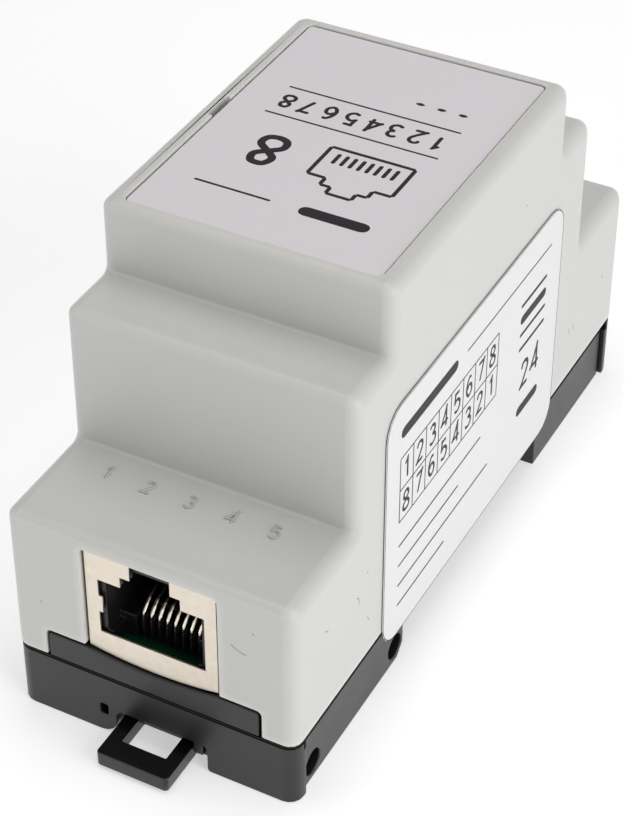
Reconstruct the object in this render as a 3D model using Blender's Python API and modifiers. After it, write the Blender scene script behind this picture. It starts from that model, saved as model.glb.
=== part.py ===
"""Rail-mounted surge protector for a network line, in a housing two modules wide.

The light top cover is snapped over a black base that sits on a 35 mm top-hat rail. A sliding latch
locks it there. A circuit board inside carries a shielded 8-contact jack at each end and, between
them, gas discharge tubes and clamping diodes for the four pairs of the line.

Lengths are in metres. The housing stands on its feet at z = 0, runs along Y, and its latch is at -Y.
"""

import math

import bmesh
import bpy
from mathutils import Matrix, Vector

MM = 0.001

# Housing, outside
HOUSING_LENGTH = 90.0 * MM
HOUSING_WIDTH = 36.0 * MM
HOUSING_HEIGHT = 56.0 * MM
PLATEAU_LENGTH = 46.0 * MM
MID_STEP_LENGTH = 62.0 * MM
MID_STEP_HEIGHT = 46.8 * MM
SHOULDER_OVER_JACK = 2.3 * MM
SEAM_HEIGHT = 8.8 * MM
EDGE_RADIUS = 0.8 * MM
SIDE_EDGE_RADIUS = 1.6 * MM
STEP_FILLET_RADIUS = 0.4 * MM

# Cover walls, the recess for the front plate and the window under it
COVER_WALL = 1.8 * MM
RIM_WIDTH = 2.4 * MM
END_RIM_WIDTH = 1.4 * MM
RECESS_DEPTH = 2.0 * MM
RECESS_CORNER_RADIUS = 0.8 * MM
LEDGE_WIDTH = 2.2 * MM
LEDGE_THICKNESS = 1.4 * MM
PRY_SLOT_LENGTH = 4.3 * MM
PRY_SLOT_DEPTH = 0.7 * MM
RIB_THICKNESS = 1.6 * MM
RIB_DEPTH = 3.2 * MM
RIB_HEIGHT = 14.0 * MM
RIB_BEHIND_JACK = 1.1 * MM

# Gaps between pieces that touch or slide
SEAM_GAP = 0.2 * MM
SEAT_GAP = 0.3 * MM
FIT_GAP = 0.3 * MM
SLIDE_GAP = 0.3 * MM

# Front plate and the two labels
FRONT_PLATE_THICKNESS = 1.2 * MM
FRONT_CLIP_THICKNESS = 1.1 * MM
FRONT_CLIP_WIDTH = 5.0 * MM
FRONT_CLIP_SPACING = 22.0 * MM
FRONT_CLIP_BARB = 0.6 * MM
FRONT_CLIP_HOOK_HEIGHT = 2.2 * MM
LABEL_THICKNESS = 0.12 * MM
LABEL_GAP = 0.1 * MM
TOP_LABEL_ROOM = 0.15 * MM
TOP_LABEL_RADIUS = 0.6 * MM
SIDE_LABEL_LENGTH = 48.0 * MM
SIDE_LABEL_HEIGHT = 34.2 * MM
SIDE_LABEL_CENTRE_Y = -0.6 * MM
SIDE_LABEL_RADIUS = 3.5 * MM

# Base, its feet and the channel for the rail
RAIL_WIDTH = 35.0 * MM
RAIL_FLANGE = 1.0 * MM
RAIL_CENTRE_Y = 1.5 * MM
RAIL_SIDE_ROOM = 1.6 * MM
RAIL_HOOK_GRIP = 1.4 * MM
RAIL_HOOK_THICKNESS = 2.2 * MM
RAIL_HOOK_WIDTH = 16.0 * MM
RAIL_SEAT_WIDTH = 5.3 * MM
RAIL_SEAT_RELIEF = 0.4 * MM
FOOT_HEIGHT = 5.8 * MM
FOOT_CHAMFER = 1.5 * MM
BASE_FLOOR = 1.6 * MM
BASE_SIDE_INSET = 0.5 * MM
BASE_CORNER_RADIUS = 1.8 * MM
BASE_END_WALL = 1.8 * MM
END_POST_LENGTH = 2.4 * MM
POST_GROOVE_WIDTH = 0.4 * MM
POST_GROOVE_DEPTH = 0.5 * MM
SPIGOT_WALL = 1.2 * MM
SPIGOT_END_ROOM = 1.3 * MM
FOOT_POCKET_WALL = 1.6 * MM
LINK_HOLE_DIAMETER = 3.3 * MM
LINK_HOLE_DEPTH = 2.6 * MM
LINK_HOLE_HEIGHT = 2.4 * MM
LINK_HOLE_EDGE = 2.2 * MM
LINK_HOLE_END = 4.8 * MM
KEY_SLOT_WIDTH = 1.0 * MM
KEY_SLOT_HEIGHT = 1.6 * MM
KEY_SLOT_DEPTH = 1.6 * MM
KEY_SLOT_BESIDE_GATE = 1.65 * MM
KEY_SLOT_Z = 3.4 * MM

# Snap hooks that hold the cover to the base
SNAP_WIDTH = 6.0 * MM
SNAP_SPACING = 30.0 * MM
SNAP_HEIGHT = 6.0 * MM
SNAP_BARB = 0.7 * MM
SNAP_BARB_HEIGHT = 1.8 * MM

# Rail latch
LATCH_REACH = 5.2 * MM
LATCH_TRAVEL = 3.5 * MM
LATCH_WIDTH = 9.2 * MM
LATCH_BOTTOM = 0.5 * MM
LATCH_THICKNESS = 1.9 * MM
LATCH_EYE_LENGTH = 4.8 * MM
LATCH_EYE_WIDTH = 5.7 * MM
LATCH_EYE_BAR = 2.8 * MM
LATCH_CORNER_RADIUS = 0.5 * MM
LATCH_SLIT = 0.8 * MM
LATCH_PRONG = 1.6 * MM
LATCH_PRONG_END_ROOM = 5.8 * MM
LATCH_BRIDGE_LENGTH = 3.2 * MM
LATCH_BARB = 0.8 * MM
LATCH_BARB_LENGTH = 2.2 * MM
LATCH_WING_THICKNESS = 1.0 * MM
LATCH_GRIP = 1.4 * MM
LATCH_NOSE_LENGTH = 4.5 * MM
LATCH_NOSE_RELIEF = 0.6 * MM
GATE_LEFT_ROOM = 0.35 * MM
GATE_RIGHT_ROOM = 2.1 * MM
GATE_HEIGHT = 3.8 * MM
GATE_RADIUS = 0.8 * MM
GATE_LEFT_FOOT_RADIUS = 2.2 * MM
GATE_RIGHT_FOOT_RADIUS = 0.5 * MM
GATE_LUG_ROOM = 0.4 * MM
GATE_LUG_WIDTH = 1.2 * MM
GATE_LUG_DROP = 1.6 * MM

# Filler bars under the jacks
FILLER_SIDE = 4.6 * MM
FILLER_TOP = 12.3 * MM
FILLER_CORNER_RADIUS = 0.6 * MM
FILLER_FLANGE = 0.7 * MM
FILLER_FLANGE_REACH = 1.0 * MM

# Circuit board and what holds it
BOARD_THICKNESS = 1.6 * MM
POST_DIAMETER = 6.0 * MM
SCREW_DIAMETER = 2.2 * MM
SCREW_TIP_DIAMETER = 0.9 * MM
SCREW_HEAD_DIAMETER = 4.6 * MM
SCREW_HEAD_FLAT = 2.8 * MM
SCREW_HEAD_HEIGHT = 1.6 * MM
SCREW_HEAD_RIM = 0.6 * MM
SCREW_SLOT_WIDTH = 0.8 * MM
SCREW_SLOT_DEPTH = 0.8 * MM
SCREW_BEHIND_JACK = 3.3 * MM

# Network jacks
JACK_WIDTH = 16.4 * MM
JACK_HEIGHT = 14.0 * MM
JACK_DEPTH = 16.0 * MM
JACK_SETBACK = 0.5 * MM
JACK_BOW = 0.75 * MM
SHIELD_SHEET = 0.3 * MM
SHIELD_PEG_WIDTH = 1.6 * MM
PORT_WIDTH = 13.3 * MM
PORT_FLOOR = 2.6 * MM
PORT_HEIGHT = 7.7 * MM
PORT_DEPTH = 12.0 * MM
PORT_TAB_REACH = 0.5 * MM
PORT_TAB_LOW = 5.6 * MM
PORT_TAB_HEIGHT = 2.3 * MM
KEYWAY_WIDTH = 5.0 * MM
KEYWAY_STEP_WIDTH = 7.5 * MM
KEYWAY_STEP_HEIGHT = 1.5 * MM
PLUG_WIDTH = 12.0 * MM
CONTACT_COUNT = 8
CONTACT_PITCH = 1.02 * MM
CONTACT_WIDTH = 0.45 * MM
CONTACT_THICKNESS = 0.3 * MM
CONTACT_BEND_HEIGHT = 4.4 * MM
CONTACT_BEND_SETBACK = 5.4 * MM
CONTACT_RISE = 2.1 * MM
CONTACT_LENGTH = 6.4 * MM
CONTACT_TAIL_BACK = 5.6 * MM
CONTACT_ROW_SPACING = 2.54 * MM
COMB_HEIGHT = 3.5 * MM
COMB_RIB = 0.25 * MM
COMB_FRONT_ROOM = 0.8 * MM
COMB_TIE_ROOM = 0.65 * MM
COMB_TIE_LENGTH = 0.8 * MM
COMB_TIE_HEIGHT = 2.0 * MM
FLOOR_OPENING_WIDTH = 10.8 * MM
FRONT_LIP_LENGTH = 0.8 * MM
FRONT_LIP_HEIGHT = 1.4 * MM

# Protection components
PAIR_COUNT = 4
TUBE_DIAMETER = 8.0 * MM
TUBE_LENGTH = 10.0 * MM
TUBE_CERAMIC_DIAMETER = 7.2 * MM
TUBE_DISC_THICKNESS = 1.6 * MM
TUBE_EDGE_ROOM = 0.5 * MM
DIODE_DIAMETER = 3.6 * MM
DIODE_EDGE = 0.4 * MM
DIODE_LENGTH = 7.6 * MM
DIODE_LEAD_REACH = 0.9 * MM
DIODE_EDGE_ROOM = 1.1 * MM
LEAD_DIAMETER = 0.8 * MM
LEAD_BELOW_BOARD = 1.0 * MM
COMPONENT_STAND = 0.5 * MM

# Earth contact that touches the rail through the base
EARTH_EDGE_ROOM = 4.9 * MM
EARTH_WIDTH = 4.0 * MM
EARTH_SHEET = 0.4 * MM
EARTH_BOW_LENGTH = 5.0 * MM
EARTH_PROUD = 0.3 * MM

# Levels and places that follow from the sizes above
HALF_LENGTH = HOUSING_LENGTH / 2
HALF_WIDTH = HOUSING_WIDTH / 2
BASE_TOP = SEAM_HEIGHT - SEAM_GAP
FLOOR_TOP = FOOT_HEIGHT + BASE_FLOOR
CHANNEL_NEAR = RAIL_CENTRE_Y - RAIL_WIDTH / 2 - RAIL_SIDE_ROOM
CHANNEL_FAR = RAIL_CENTRE_Y + RAIL_WIDTH / 2 + RAIL_SIDE_ROOM
RECESS_FLOOR = HOUSING_HEIGHT - RECESS_DEPTH
RECESS_HALF_WIDTH = HALF_WIDTH - RIM_WIDTH
RECESS_HALF_LENGTH = PLATEAU_LENGTH / 2 - END_RIM_WIDTH
SPIGOT_HALF_WIDTH = HALF_WIDTH - COVER_WALL - FIT_GAP
SPIGOT_HALF_LENGTH = HALF_LENGTH - COVER_WALL - SPIGOT_END_ROOM
BOARD_BOTTOM = FILLER_TOP - BOARD_THICKNESS
BOARD_TOP = BOARD_BOTTOM + BOARD_THICKNESS
POST_TOP = BOARD_BOTTOM - SEAT_GAP
BOARD_HALF_WIDTH = SPIGOT_HALF_WIDTH - SPIGOT_WALL - FIT_GAP
BOARD_HALF_LENGTH = SPIGOT_HALF_LENGTH
FILLER_HALF_WIDTH = HALF_WIDTH - FILLER_SIDE
JACK_BOTTOM = FILLER_TOP + SEAM_GAP
JACK_TOP = JACK_BOTTOM + JACK_HEIGHT
SHOULDER_HEIGHT = JACK_TOP + SHOULDER_OVER_JACK
JACK_FRONT = HALF_LENGTH - JACK_SETBACK
JACK_BACK = JACK_FRONT - JACK_DEPTH
SCREW_Y = JACK_BACK - SCREW_BEHIND_JACK
RIB_Y = JACK_BACK - RIB_BEHIND_JACK
PAIR_SPACING = 2 * SCREW_Y / PAIR_COUNT
TUBE_CENTRE_X = -(BOARD_HALF_WIDTH - TUBE_EDGE_ROOM - TUBE_LENGTH / 2)
DIODE_LEAD_X = BOARD_HALF_WIDTH - DIODE_EDGE_ROOM
DIODE_CENTRE_X = DIODE_LEAD_X - DIODE_LEAD_REACH - DIODE_LENGTH / 2
LATCH_TOP = LATCH_BOTTOM + LATCH_THICKNESS
LATCH_ROOF = LATCH_TOP + SLIDE_GAP
WING_BOTTOM = LATCH_TOP - LATCH_WING_THICKNESS
WING_HALF_WIDTH = LATCH_WIDTH / 2 + LATCH_SLIT + LATCH_PRONG
NOSE_TOP = FOOT_HEIGHT - RAIL_FLANGE - SLIDE_GAP
LATCH_NOSE_TIP = CHANNEL_NEAR + RAIL_SIDE_ROOM + LATCH_GRIP
LATCH_SHOULDER = -HALF_LENGTH + BASE_END_WALL + SLIDE_GAP + LATCH_TRAVEL
LATCH_PRONG_END = CHANNEL_NEAR - LATCH_PRONG_END_ROOM
GATE_LEFT = -LATCH_WIDTH / 2 - GATE_LEFT_ROOM
KEY_SLOT_X = GATE_LEFT - KEY_SLOT_BESIDE_GATE
FRONT_PLATE_TOP = RECESS_FLOOR + SEAT_GAP + FRONT_PLATE_THICKNESS
EARTH_CENTRE_X = BOARD_HALF_WIDTH - EARTH_EDGE_ROOM
EARTH_CENTRE_Y = CHANNEL_NEAR + RAIL_SIDE_ROOM + EARTH_BOW_LENGTH / 2

ROUND_STEPS = 20
HOLE_STEPS = 12
CORNER_STEPS = 4
BOW_STEPS = 10


# Scene, collections and materials

def clear_scene():
    for item in list(bpy.data.objects):
        bpy.data.objects.remove(item, do_unlink=True)


def new_collection(name):
    collection = bpy.data.collections.new(name)
    bpy.context.scene.collection.children.link(collection)
    return collection


def linear(channel):
    return channel / 12.92 if channel <= 0.04045 else ((channel + 0.055) / 1.055) ** 2.4


def material(name, colour, roughness, metallic=0.0):
    """A Principled BSDF; colour is an sRGB hex string."""
    made = bpy.data.materials.new(name)
    made.use_nodes = True
    shader = made.node_tree.nodes["Principled BSDF"]
    rgb = [linear(int(colour[i:i + 2], 16) / 255) for i in (0, 2, 4)]
    shader.inputs["Base Color"].default_value = (*rgb, 1.0)
    shader.inputs["Roughness"].default_value = roughness
    shader.inputs["Metallic"].default_value = metallic
    return made


# Outlines and solids

def rounded(corners, steps=CORNER_STEPS):
    """Points of an outline of (a, b, radius) corners, with each corner turned into an arc."""
    points = []
    for i, (a, b, radius) in enumerate(corners):
        here = Vector((a, b))
        before = Vector(corners[i - 1][:2]) - here
        after = Vector(corners[(i + 1) % len(corners)][:2]) - here
        if radius <= 0:
            points.append(here)
            continue
        before.normalize()
        after.normalize()
        half_angle = before.angle(after) / 2
        centre = here + (before + after).normalized() * radius / math.sin(half_angle)
        start = here + before * radius / math.tan(half_angle) - centre
        end = here + after * radius / math.tan(half_angle) - centre
        turn = start.angle_signed(end)
        for step in range(steps + 1):
            points.append(centre + Matrix.Rotation(-turn * step / steps, 2) @ start)
    return points


def rectangle(a_low, a_high, b_low, b_high, radius=0.0):
    corners = ((a_low, b_low), (a_high, b_low), (a_high, b_high), (a_low, b_high))
    return rounded([(a, b, radius) for a, b in corners])


def circle(a, b, diameter, steps=HOLE_STEPS):
    angles = [2 * math.pi * i / steps for i in range(steps)]
    return [Vector((a + math.cos(t) * diameter / 2, b + math.sin(t) * diameter / 2)) for t in angles]


PLANES = {
    "XY": Matrix.Identity(4),
    "YZ": Matrix(((0, 0, 1, 0), (1, 0, 0, 0), (0, 1, 0, 0), (0, 0, 0, 1))),
    "XZ": Matrix(((1, 0, 0, 0), (0, 0, -1, 0), (0, 1, 0, 0), (0, 0, 0, 1))),
}


def add_object(name, mesh, collection, finish=None):
    item = bpy.data.objects.new(name, mesh)
    collection.objects.link(item)
    if finish:
        mesh.materials.append(finish)
    return item


def plate_mesh(name, plane, low, high, outline, holes=()):
    """A flat outline with holes, from low to high along the plane's normal (X, Y or Z)."""
    curve = bpy.data.curves.new(name, "CURVE")
    curve.dimensions = "2D"
    curve.fill_mode = "BOTH"
    curve.extrude = (high - low) / 2
    for loop in (outline, *holes):
        spline = curve.splines.new("POLY")
        spline.points.add(len(loop) - 1)
        for point, (a, b) in zip(spline.points, loop):
            point.co = (a, b, 0, 1)
        spline.use_cyclic_u = True
    flat = bpy.data.objects.new(name, curve)
    bpy.context.scene.collection.objects.link(flat)
    bpy.context.view_layer.update()
    evaluated = flat.evaluated_get(bpy.context.evaluated_depsgraph_get())
    mesh = bpy.data.meshes.new_from_object(evaluated)
    bpy.data.objects.remove(flat)
    bpy.data.curves.remove(curve)
    middle = (low + high) / 2
    normal = -middle if plane == "XZ" else middle
    mesh.transform(PLANES[plane] @ Matrix.Translation((0, 0, normal)))
    work = bmesh.new()
    work.from_mesh(mesh)
    bmesh.ops.remove_doubles(work, verts=work.verts, dist=1e-6)
    bmesh.ops.recalc_face_normals(work, faces=work.faces)
    work.to_mesh(mesh)
    work.free()
    return mesh


def box_mesh(name, low, high):
    """A cube primitive stretched between two corners."""
    mesh = bpy.data.meshes.new(name)
    work = bmesh.new()
    bmesh.ops.create_cube(work, size=1.0)
    size = [b - a for a, b in zip(low, high)]
    middle = [(a + b) / 2 for a, b in zip(low, high)]
    bmesh.ops.transform(work, matrix=Matrix.Translation(middle) @ Matrix.Diagonal((*size, 1)),
                        verts=work.verts)
    work.to_mesh(mesh)
    work.free()
    return mesh


def change(target, operation, mesh):
    """Cuts the mesh from the target, or joins it on, with a Boolean modifier and a hidden tool."""
    tool = add_object(f"{target.name}_{mesh.name}", mesh, CUTTERS)
    tool.hide_render = True
    tool.display_type = "WIRE"
    modifier = target.modifiers.new(mesh.name, "BOOLEAN")
    modifier.operation = operation
    modifier.solver = "EXACT"
    modifier.object = tool


def cut(target, mesh):
    change(target, "DIFFERENCE", mesh)


def join(target, mesh):
    change(target, "UNION", mesh)


def both_sides():
    return (-1, 1)


# Top cover

def stepped_outline(grow, plateau_drop, bottom):
    """The housing's side outline in Y and Z, moved in by grow, with a plateau lowered further."""
    right = (
        (HALF_LENGTH - grow, bottom),
        (HALF_LENGTH - grow, SHOULDER_HEIGHT - grow),
        (MID_STEP_LENGTH / 2 - grow, SHOULDER_HEIGHT - grow),
        (MID_STEP_LENGTH / 2 - grow, MID_STEP_HEIGHT - grow),
        (PLATEAU_LENGTH / 2 - grow, MID_STEP_HEIGHT - grow),
        (PLATEAU_LENGTH / 2 - grow, HOUSING_HEIGHT - grow - plateau_drop),
    )
    return [Vector(p) for p in (*right, *[(-a, b) for a, b in reversed(right)])]


def end_opening_mesh(side):
    """The cut in an end wall of the cover, for the jack above and the filler bar below."""
    jack_edge = JACK_WIDTH / 2 + FIT_GAP
    bar_edge = FILLER_HALF_WIDTH + FIT_GAP
    right = (
        (bar_edge, SEAM_HEIGHT - COVER_WALL, 0),
        (bar_edge, FILLER_TOP + FIT_GAP, FILLER_CORNER_RADIUS),
        (jack_edge, FILLER_TOP + FIT_GAP, 0),
        (jack_edge, JACK_TOP + FIT_GAP, FILLER_CORNER_RADIUS),
    )
    left = [(-a, b, radius) for a, b, radius in reversed(right)]
    ends = sorted((side * (HALF_LENGTH + COVER_WALL), side * (HALF_LENGTH - COVER_WALL - FIT_GAP)))
    return plate_mesh("end_opening", "XZ", *ends, rounded([*right, *left]))


def round_edges(shell):
    """Rounds the shell: most round its two sides, less at the steps' edges, least in their corners."""
    work = bmesh.new()
    work.from_mesh(shell.data)
    flat_angle = math.radians(0.1)
    bmesh.ops.dissolve_limit(work, angle_limit=flat_angle, verts=work.verts, edges=work.edges)
    weight = work.edges.layers.float.new("bevel_weight_edge")
    for edge in work.edges:
        if max(vert.co.z for vert in edge.verts) < SEAM_HEIGHT + SEAM_GAP:
            continue
        if abs(edge.verts[0].co.x - edge.verts[1].co.x) < HALF_WIDTH:
            edge[weight] = 1.0
        elif edge.is_convex:
            edge[weight] = EDGE_RADIUS / SIDE_EDGE_RADIUS
        else:
            edge[weight] = STEP_FILLET_RADIUS / SIDE_EDGE_RADIUS
    work.to_mesh(shell.data)
    work.free()
    arc = shell.modifiers.new("edge_radius", "BEVEL")
    arc.width = SIDE_EDGE_RADIUS
    arc.limit_method = "WEIGHT"
    arc.segments = CORNER_STEPS


def make_top_cover(finish):
    outline = stepped_outline(0.0, 0.0, SEAM_HEIGHT)
    shell = plate_mesh("top_cover", "YZ", -HALF_WIDTH, HALF_WIDTH, outline)
    cover = add_object("top_cover", shell, PARTS, finish)
    round_edges(cover)
    top_skin = RECESS_DEPTH + LEDGE_THICKNESS - COVER_WALL
    inside = stepped_outline(COVER_WALL, top_skin, SEAM_HEIGHT - COVER_WALL)
    inner_edge = HALF_WIDTH - COVER_WALL
    cut(cover, plate_mesh("inside", "YZ", -inner_edge, inner_edge, inside))
    recess = rectangle(-RECESS_HALF_WIDTH, RECESS_HALF_WIDTH,
                       -RECESS_HALF_LENGTH, RECESS_HALF_LENGTH, RECESS_CORNER_RADIUS)
    cut(cover, plate_mesh("recess", "XY", RECESS_FLOOR, HOUSING_HEIGHT + COVER_WALL, recess))
    window = rectangle(-RECESS_HALF_WIDTH + LEDGE_WIDTH, RECESS_HALF_WIDTH - LEDGE_WIDTH,
                       -RECESS_HALF_LENGTH + LEDGE_WIDTH, RECESS_HALF_LENGTH - LEDGE_WIDTH,
                       RECESS_CORNER_RADIUS)
    cut(cover, plate_mesh("window", "XY", RECESS_FLOOR - LEDGE_THICKNESS * 2,
                          RECESS_FLOOR + LEDGE_THICKNESS, window))
    cut(cover, box_mesh("pry_slot",
                        (-RECESS_HALF_WIDTH - PRY_SLOT_DEPTH, -PRY_SLOT_LENGTH / 2, RECESS_FLOOR),
                        (-RECESS_HALF_WIDTH + PRY_SLOT_DEPTH, PRY_SLOT_LENGTH / 2,
                         HOUSING_HEIGHT + COVER_WALL)))
    for side in both_sides():
        cut(cover, end_opening_mesh(side))
    for side_x in both_sides():
        for side_y in both_sides():
            cut(cover, snap_pocket_mesh(side_x, side_y))
            join(cover, hold_down_rib_mesh(side_x, side_y * RIB_Y))
    return cover


def snap_pocket_mesh(side_x, side_y):
    """The blind pocket in a side wall that a snap barb springs into."""
    low_z = POST_TOP + SNAP_HEIGHT - SNAP_BARB_HEIGHT - FIT_GAP
    edges = sorted((side_x * (HALF_WIDTH - COVER_WALL - FIT_GAP),
                    side_x * (HALF_WIDTH - COVER_WALL + SNAP_BARB)))
    middle = side_y * SNAP_SPACING / 2
    reach = SNAP_WIDTH / 2 + FIT_GAP
    return box_mesh("snap_pocket", (edges[0], middle - reach, low_z),
                    (edges[1], middle + reach, low_z + SNAP_BARB_HEIGHT + 2 * FIT_GAP))


def hold_down_rib_mesh(side_x, middle):
    """A rib inside the cover that keeps the board on its posts."""
    edges = sorted((side_x * (HALF_WIDTH - COVER_WALL / 2),
                    side_x * (HALF_WIDTH - COVER_WALL - RIB_DEPTH)))
    low_z = BOARD_TOP + SEAT_GAP
    return box_mesh("hold_down_rib", (edges[0], middle - RIB_THICKNESS / 2, low_z),
                    (edges[1], middle + RIB_THICKNESS / 2, low_z + RIB_HEIGHT))


# Front plate and labels

def make_front_plate(finish):
    half_width = RECESS_HALF_WIDTH - FIT_GAP
    half_length = RECESS_HALF_LENGTH - FIT_GAP
    outline = rectangle(-half_width, half_width, -half_length, half_length, RECESS_CORNER_RADIUS)
    low_z = RECESS_FLOOR + SEAT_GAP
    slab = plate_mesh("front_plate", "XY", low_z, FRONT_PLATE_TOP, outline)
    plate = add_object("front_plate", slab, PARTS, finish)
    window_edge = RECESS_HALF_WIDTH - LEDGE_WIDTH - FIT_GAP
    hook_top = RECESS_FLOOR - LEDGE_THICKNESS - SEAT_GAP
    hook_reach = window_edge + FRONT_CLIP_BARB + FIT_GAP
    hook_low = hook_top - FRONT_CLIP_HOOK_HEIGHT
    inner = window_edge - FRONT_CLIP_THICKNESS
    root = low_z + FRONT_PLATE_THICKNESS / 2
    clip = ((inner, root), (window_edge, root), (window_edge, hook_top), (hook_reach, hook_top),
            (window_edge, hook_low), (inner, hook_low))
    for side_x in both_sides():
        points = [Vector((side_x * a, b)) for a, b in clip]
        for side_y in both_sides():
            middle = side_y * FRONT_CLIP_SPACING / 2
            join(plate, plate_mesh("front_clip", "XZ", middle - FRONT_CLIP_WIDTH / 2,
                                   middle + FRONT_CLIP_WIDTH / 2, points))
    return plate


def make_top_label(finish):
    half_width = RECESS_HALF_WIDTH - TOP_LABEL_ROOM
    half_length = RECESS_HALF_LENGTH - TOP_LABEL_ROOM
    outline = rectangle(-half_width, half_width, -half_length, half_length, TOP_LABEL_RADIUS)
    low_z = FRONT_PLATE_TOP + LABEL_GAP
    film = plate_mesh("top_label", "XY", low_z, low_z + LABEL_THICKNESS, outline)
    return add_object("top_label", film, PARTS, finish)


def make_side_label(finish):
    low_x = HALF_WIDTH + LABEL_GAP
    outline = rectangle(SIDE_LABEL_CENTRE_Y - SIDE_LABEL_LENGTH / 2,
                        SIDE_LABEL_CENTRE_Y + SIDE_LABEL_LENGTH / 2,
                        FOOT_HEIGHT, FOOT_HEIGHT + SIDE_LABEL_HEIGHT, SIDE_LABEL_RADIUS)
    film = plate_mesh("side_label", "YZ", low_x, low_x + LABEL_THICKNESS, outline)
    return add_object("side_label", film, PARTS, finish)


# Base

def inset_base_sides(base):
    """Sets the side walls in from the end posts, with a groove where each post begins."""
    wall_x = HALF_WIDTH - BASE_SIDE_INSET
    groove_x = wall_x - POST_GROOVE_DEPTH
    post_y = HALF_LENGTH - END_POST_LENGTH
    for side_x in both_sides():
        edges = sorted((side_x * wall_x, side_x * HOUSING_WIDTH))
        cut(base, box_mesh("side_inset", (edges[0], -post_y, -FOOT_HEIGHT),
                           (edges[1], post_y, SHOULDER_HEIGHT)))
        edges = sorted((side_x * groove_x, side_x * HOUSING_WIDTH))
        for side_y in both_sides():
            ends = sorted((side_y * post_y, side_y * (post_y - POST_GROOVE_WIDTH)))
            cut(base, box_mesh("post_groove", (edges[0], ends[0], -FOOT_HEIGHT),
                               (edges[1], ends[1], SHOULDER_HEIGHT)))


def latch_slot_outline():
    """The T-shaped guide that the latch slides in: lips below, wings above them."""
    lip_x = LATCH_WIDTH / 2 + SLIDE_GAP
    wing_x = WING_HALF_WIDTH + SLIDE_GAP
    lip_z = WING_BOTTOM - SLIDE_GAP
    right = ((lip_x, -FOOT_HEIGHT), (lip_x, lip_z), (wing_x, lip_z), (wing_x, LATCH_ROOF))
    return [Vector(p) for p in (*right, *[(-a, b) for a, b in reversed(right)])]


def make_base(finish):
    plan = rectangle(-HALF_WIDTH, HALF_WIDTH, -HALF_LENGTH, HALF_LENGTH, BASE_CORNER_RADIUS)
    base = add_object("base", plate_mesh("base", "XY", 0.0, BASE_TOP, plan), PARTS, finish)
    inset_base_sides(base)
    join(base, box_mesh("spigot", (-SPIGOT_HALF_WIDTH, -SPIGOT_HALF_LENGTH, FOOT_HEIGHT + BASE_FLOOR / 2),
                        (SPIGOT_HALF_WIDTH, SPIGOT_HALF_LENGTH, POST_TOP)))
    tray_x = SPIGOT_HALF_WIDTH - SPIGOT_WALL
    tray_y = SPIGOT_HALF_LENGTH - SPIGOT_WALL
    cut(base, box_mesh("tray", (-tray_x, -tray_y, FLOOR_TOP), (tray_x, tray_y, POST_TOP + BASE_FLOOR)))
    cut_rail_channel(base)
    cut_foot_pockets(base)
    cut_latch_guide(base)
    add_rail_hook(base)
    for side_x in both_sides():
        for side_y in both_sides():
            join(base, snap_hook_mesh(side_x, side_y))
        for place in (-HALF_LENGTH + LINK_HOLE_END, CHANNEL_NEAR - LINK_HOLE_EDGE):
            ends = sorted((side_x * HOUSING_WIDTH,
                           side_x * (HALF_WIDTH - BASE_SIDE_INSET - LINK_HOLE_DEPTH)))
            hole = circle(place, LINK_HOLE_HEIGHT, LINK_HOLE_DIAMETER, ROUND_STEPS)
            cut(base, plate_mesh("link_hole", "YZ", *ends, hole))
    cut(base, box_mesh("key_slot",
                       (KEY_SLOT_X - KEY_SLOT_WIDTH / 2, -HOUSING_LENGTH, KEY_SLOT_Z - KEY_SLOT_HEIGHT / 2),
                       (KEY_SLOT_X + KEY_SLOT_WIDTH / 2, -HALF_LENGTH + KEY_SLOT_DEPTH,
                        KEY_SLOT_Z + KEY_SLOT_HEIGHT / 2)))
    for side in both_sides():
        place = side * SCREW_Y
        join(base, plate_mesh("board_post", "XY", FLOOR_TOP - BASE_FLOOR / 2, POST_TOP,
                              circle(0, place, POST_DIAMETER, ROUND_STEPS)))
        cut(base, plate_mesh("screw_hole", "XY", FOOT_HEIGHT + BASE_FLOOR / 2, BOARD_TOP,
                             circle(0, place, SCREW_DIAMETER + 2 * FIT_GAP)))
    cut(base, box_mesh("earth_slot",
                       (EARTH_CENTRE_X - EARTH_WIDTH / 2 - FIT_GAP,
                        EARTH_CENTRE_Y - EARTH_BOW_LENGTH / 2 - FIT_GAP, -FOOT_HEIGHT),
                       (EARTH_CENTRE_X + EARTH_WIDTH / 2 + FIT_GAP,
                        EARTH_CENTRE_Y + EARTH_BOW_LENGTH / 2 + FIT_GAP, FLOOR_TOP + BASE_FLOOR)))
    return base


def cut_rail_channel(base):
    """Cuts the channel and relieves its roof, so that the rail rests on a strip along each side."""
    cut(base, box_mesh("rail_channel", (-HOUSING_WIDTH, CHANNEL_NEAR, -FOOT_HEIGHT),
                       (HOUSING_WIDTH, CHANNEL_FAR, FOOT_HEIGHT)))
    inner = HALF_WIDTH - BASE_SIDE_INSET - RAIL_SEAT_WIDTH
    cut(base, box_mesh("seat_relief", (-inner, CHANNEL_NEAR, 0.0),
                       (inner, CHANNEL_FAR, FOOT_HEIGHT + RAIL_SEAT_RELIEF)))
    corner = [Vector(p) for p in ((CHANNEL_NEAR - FOOT_CHAMFER, 0.0), (CHANNEL_NEAR, -FOOT_CHAMFER),
                                  (CHANNEL_NEAR + FOOT_CHAMFER, 0.0), (CHANNEL_NEAR, FOOT_CHAMFER))]
    cut(base, plate_mesh("foot_chamfer", "YZ", -HOUSING_WIDTH, HOUSING_WIDTH, corner))


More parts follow.
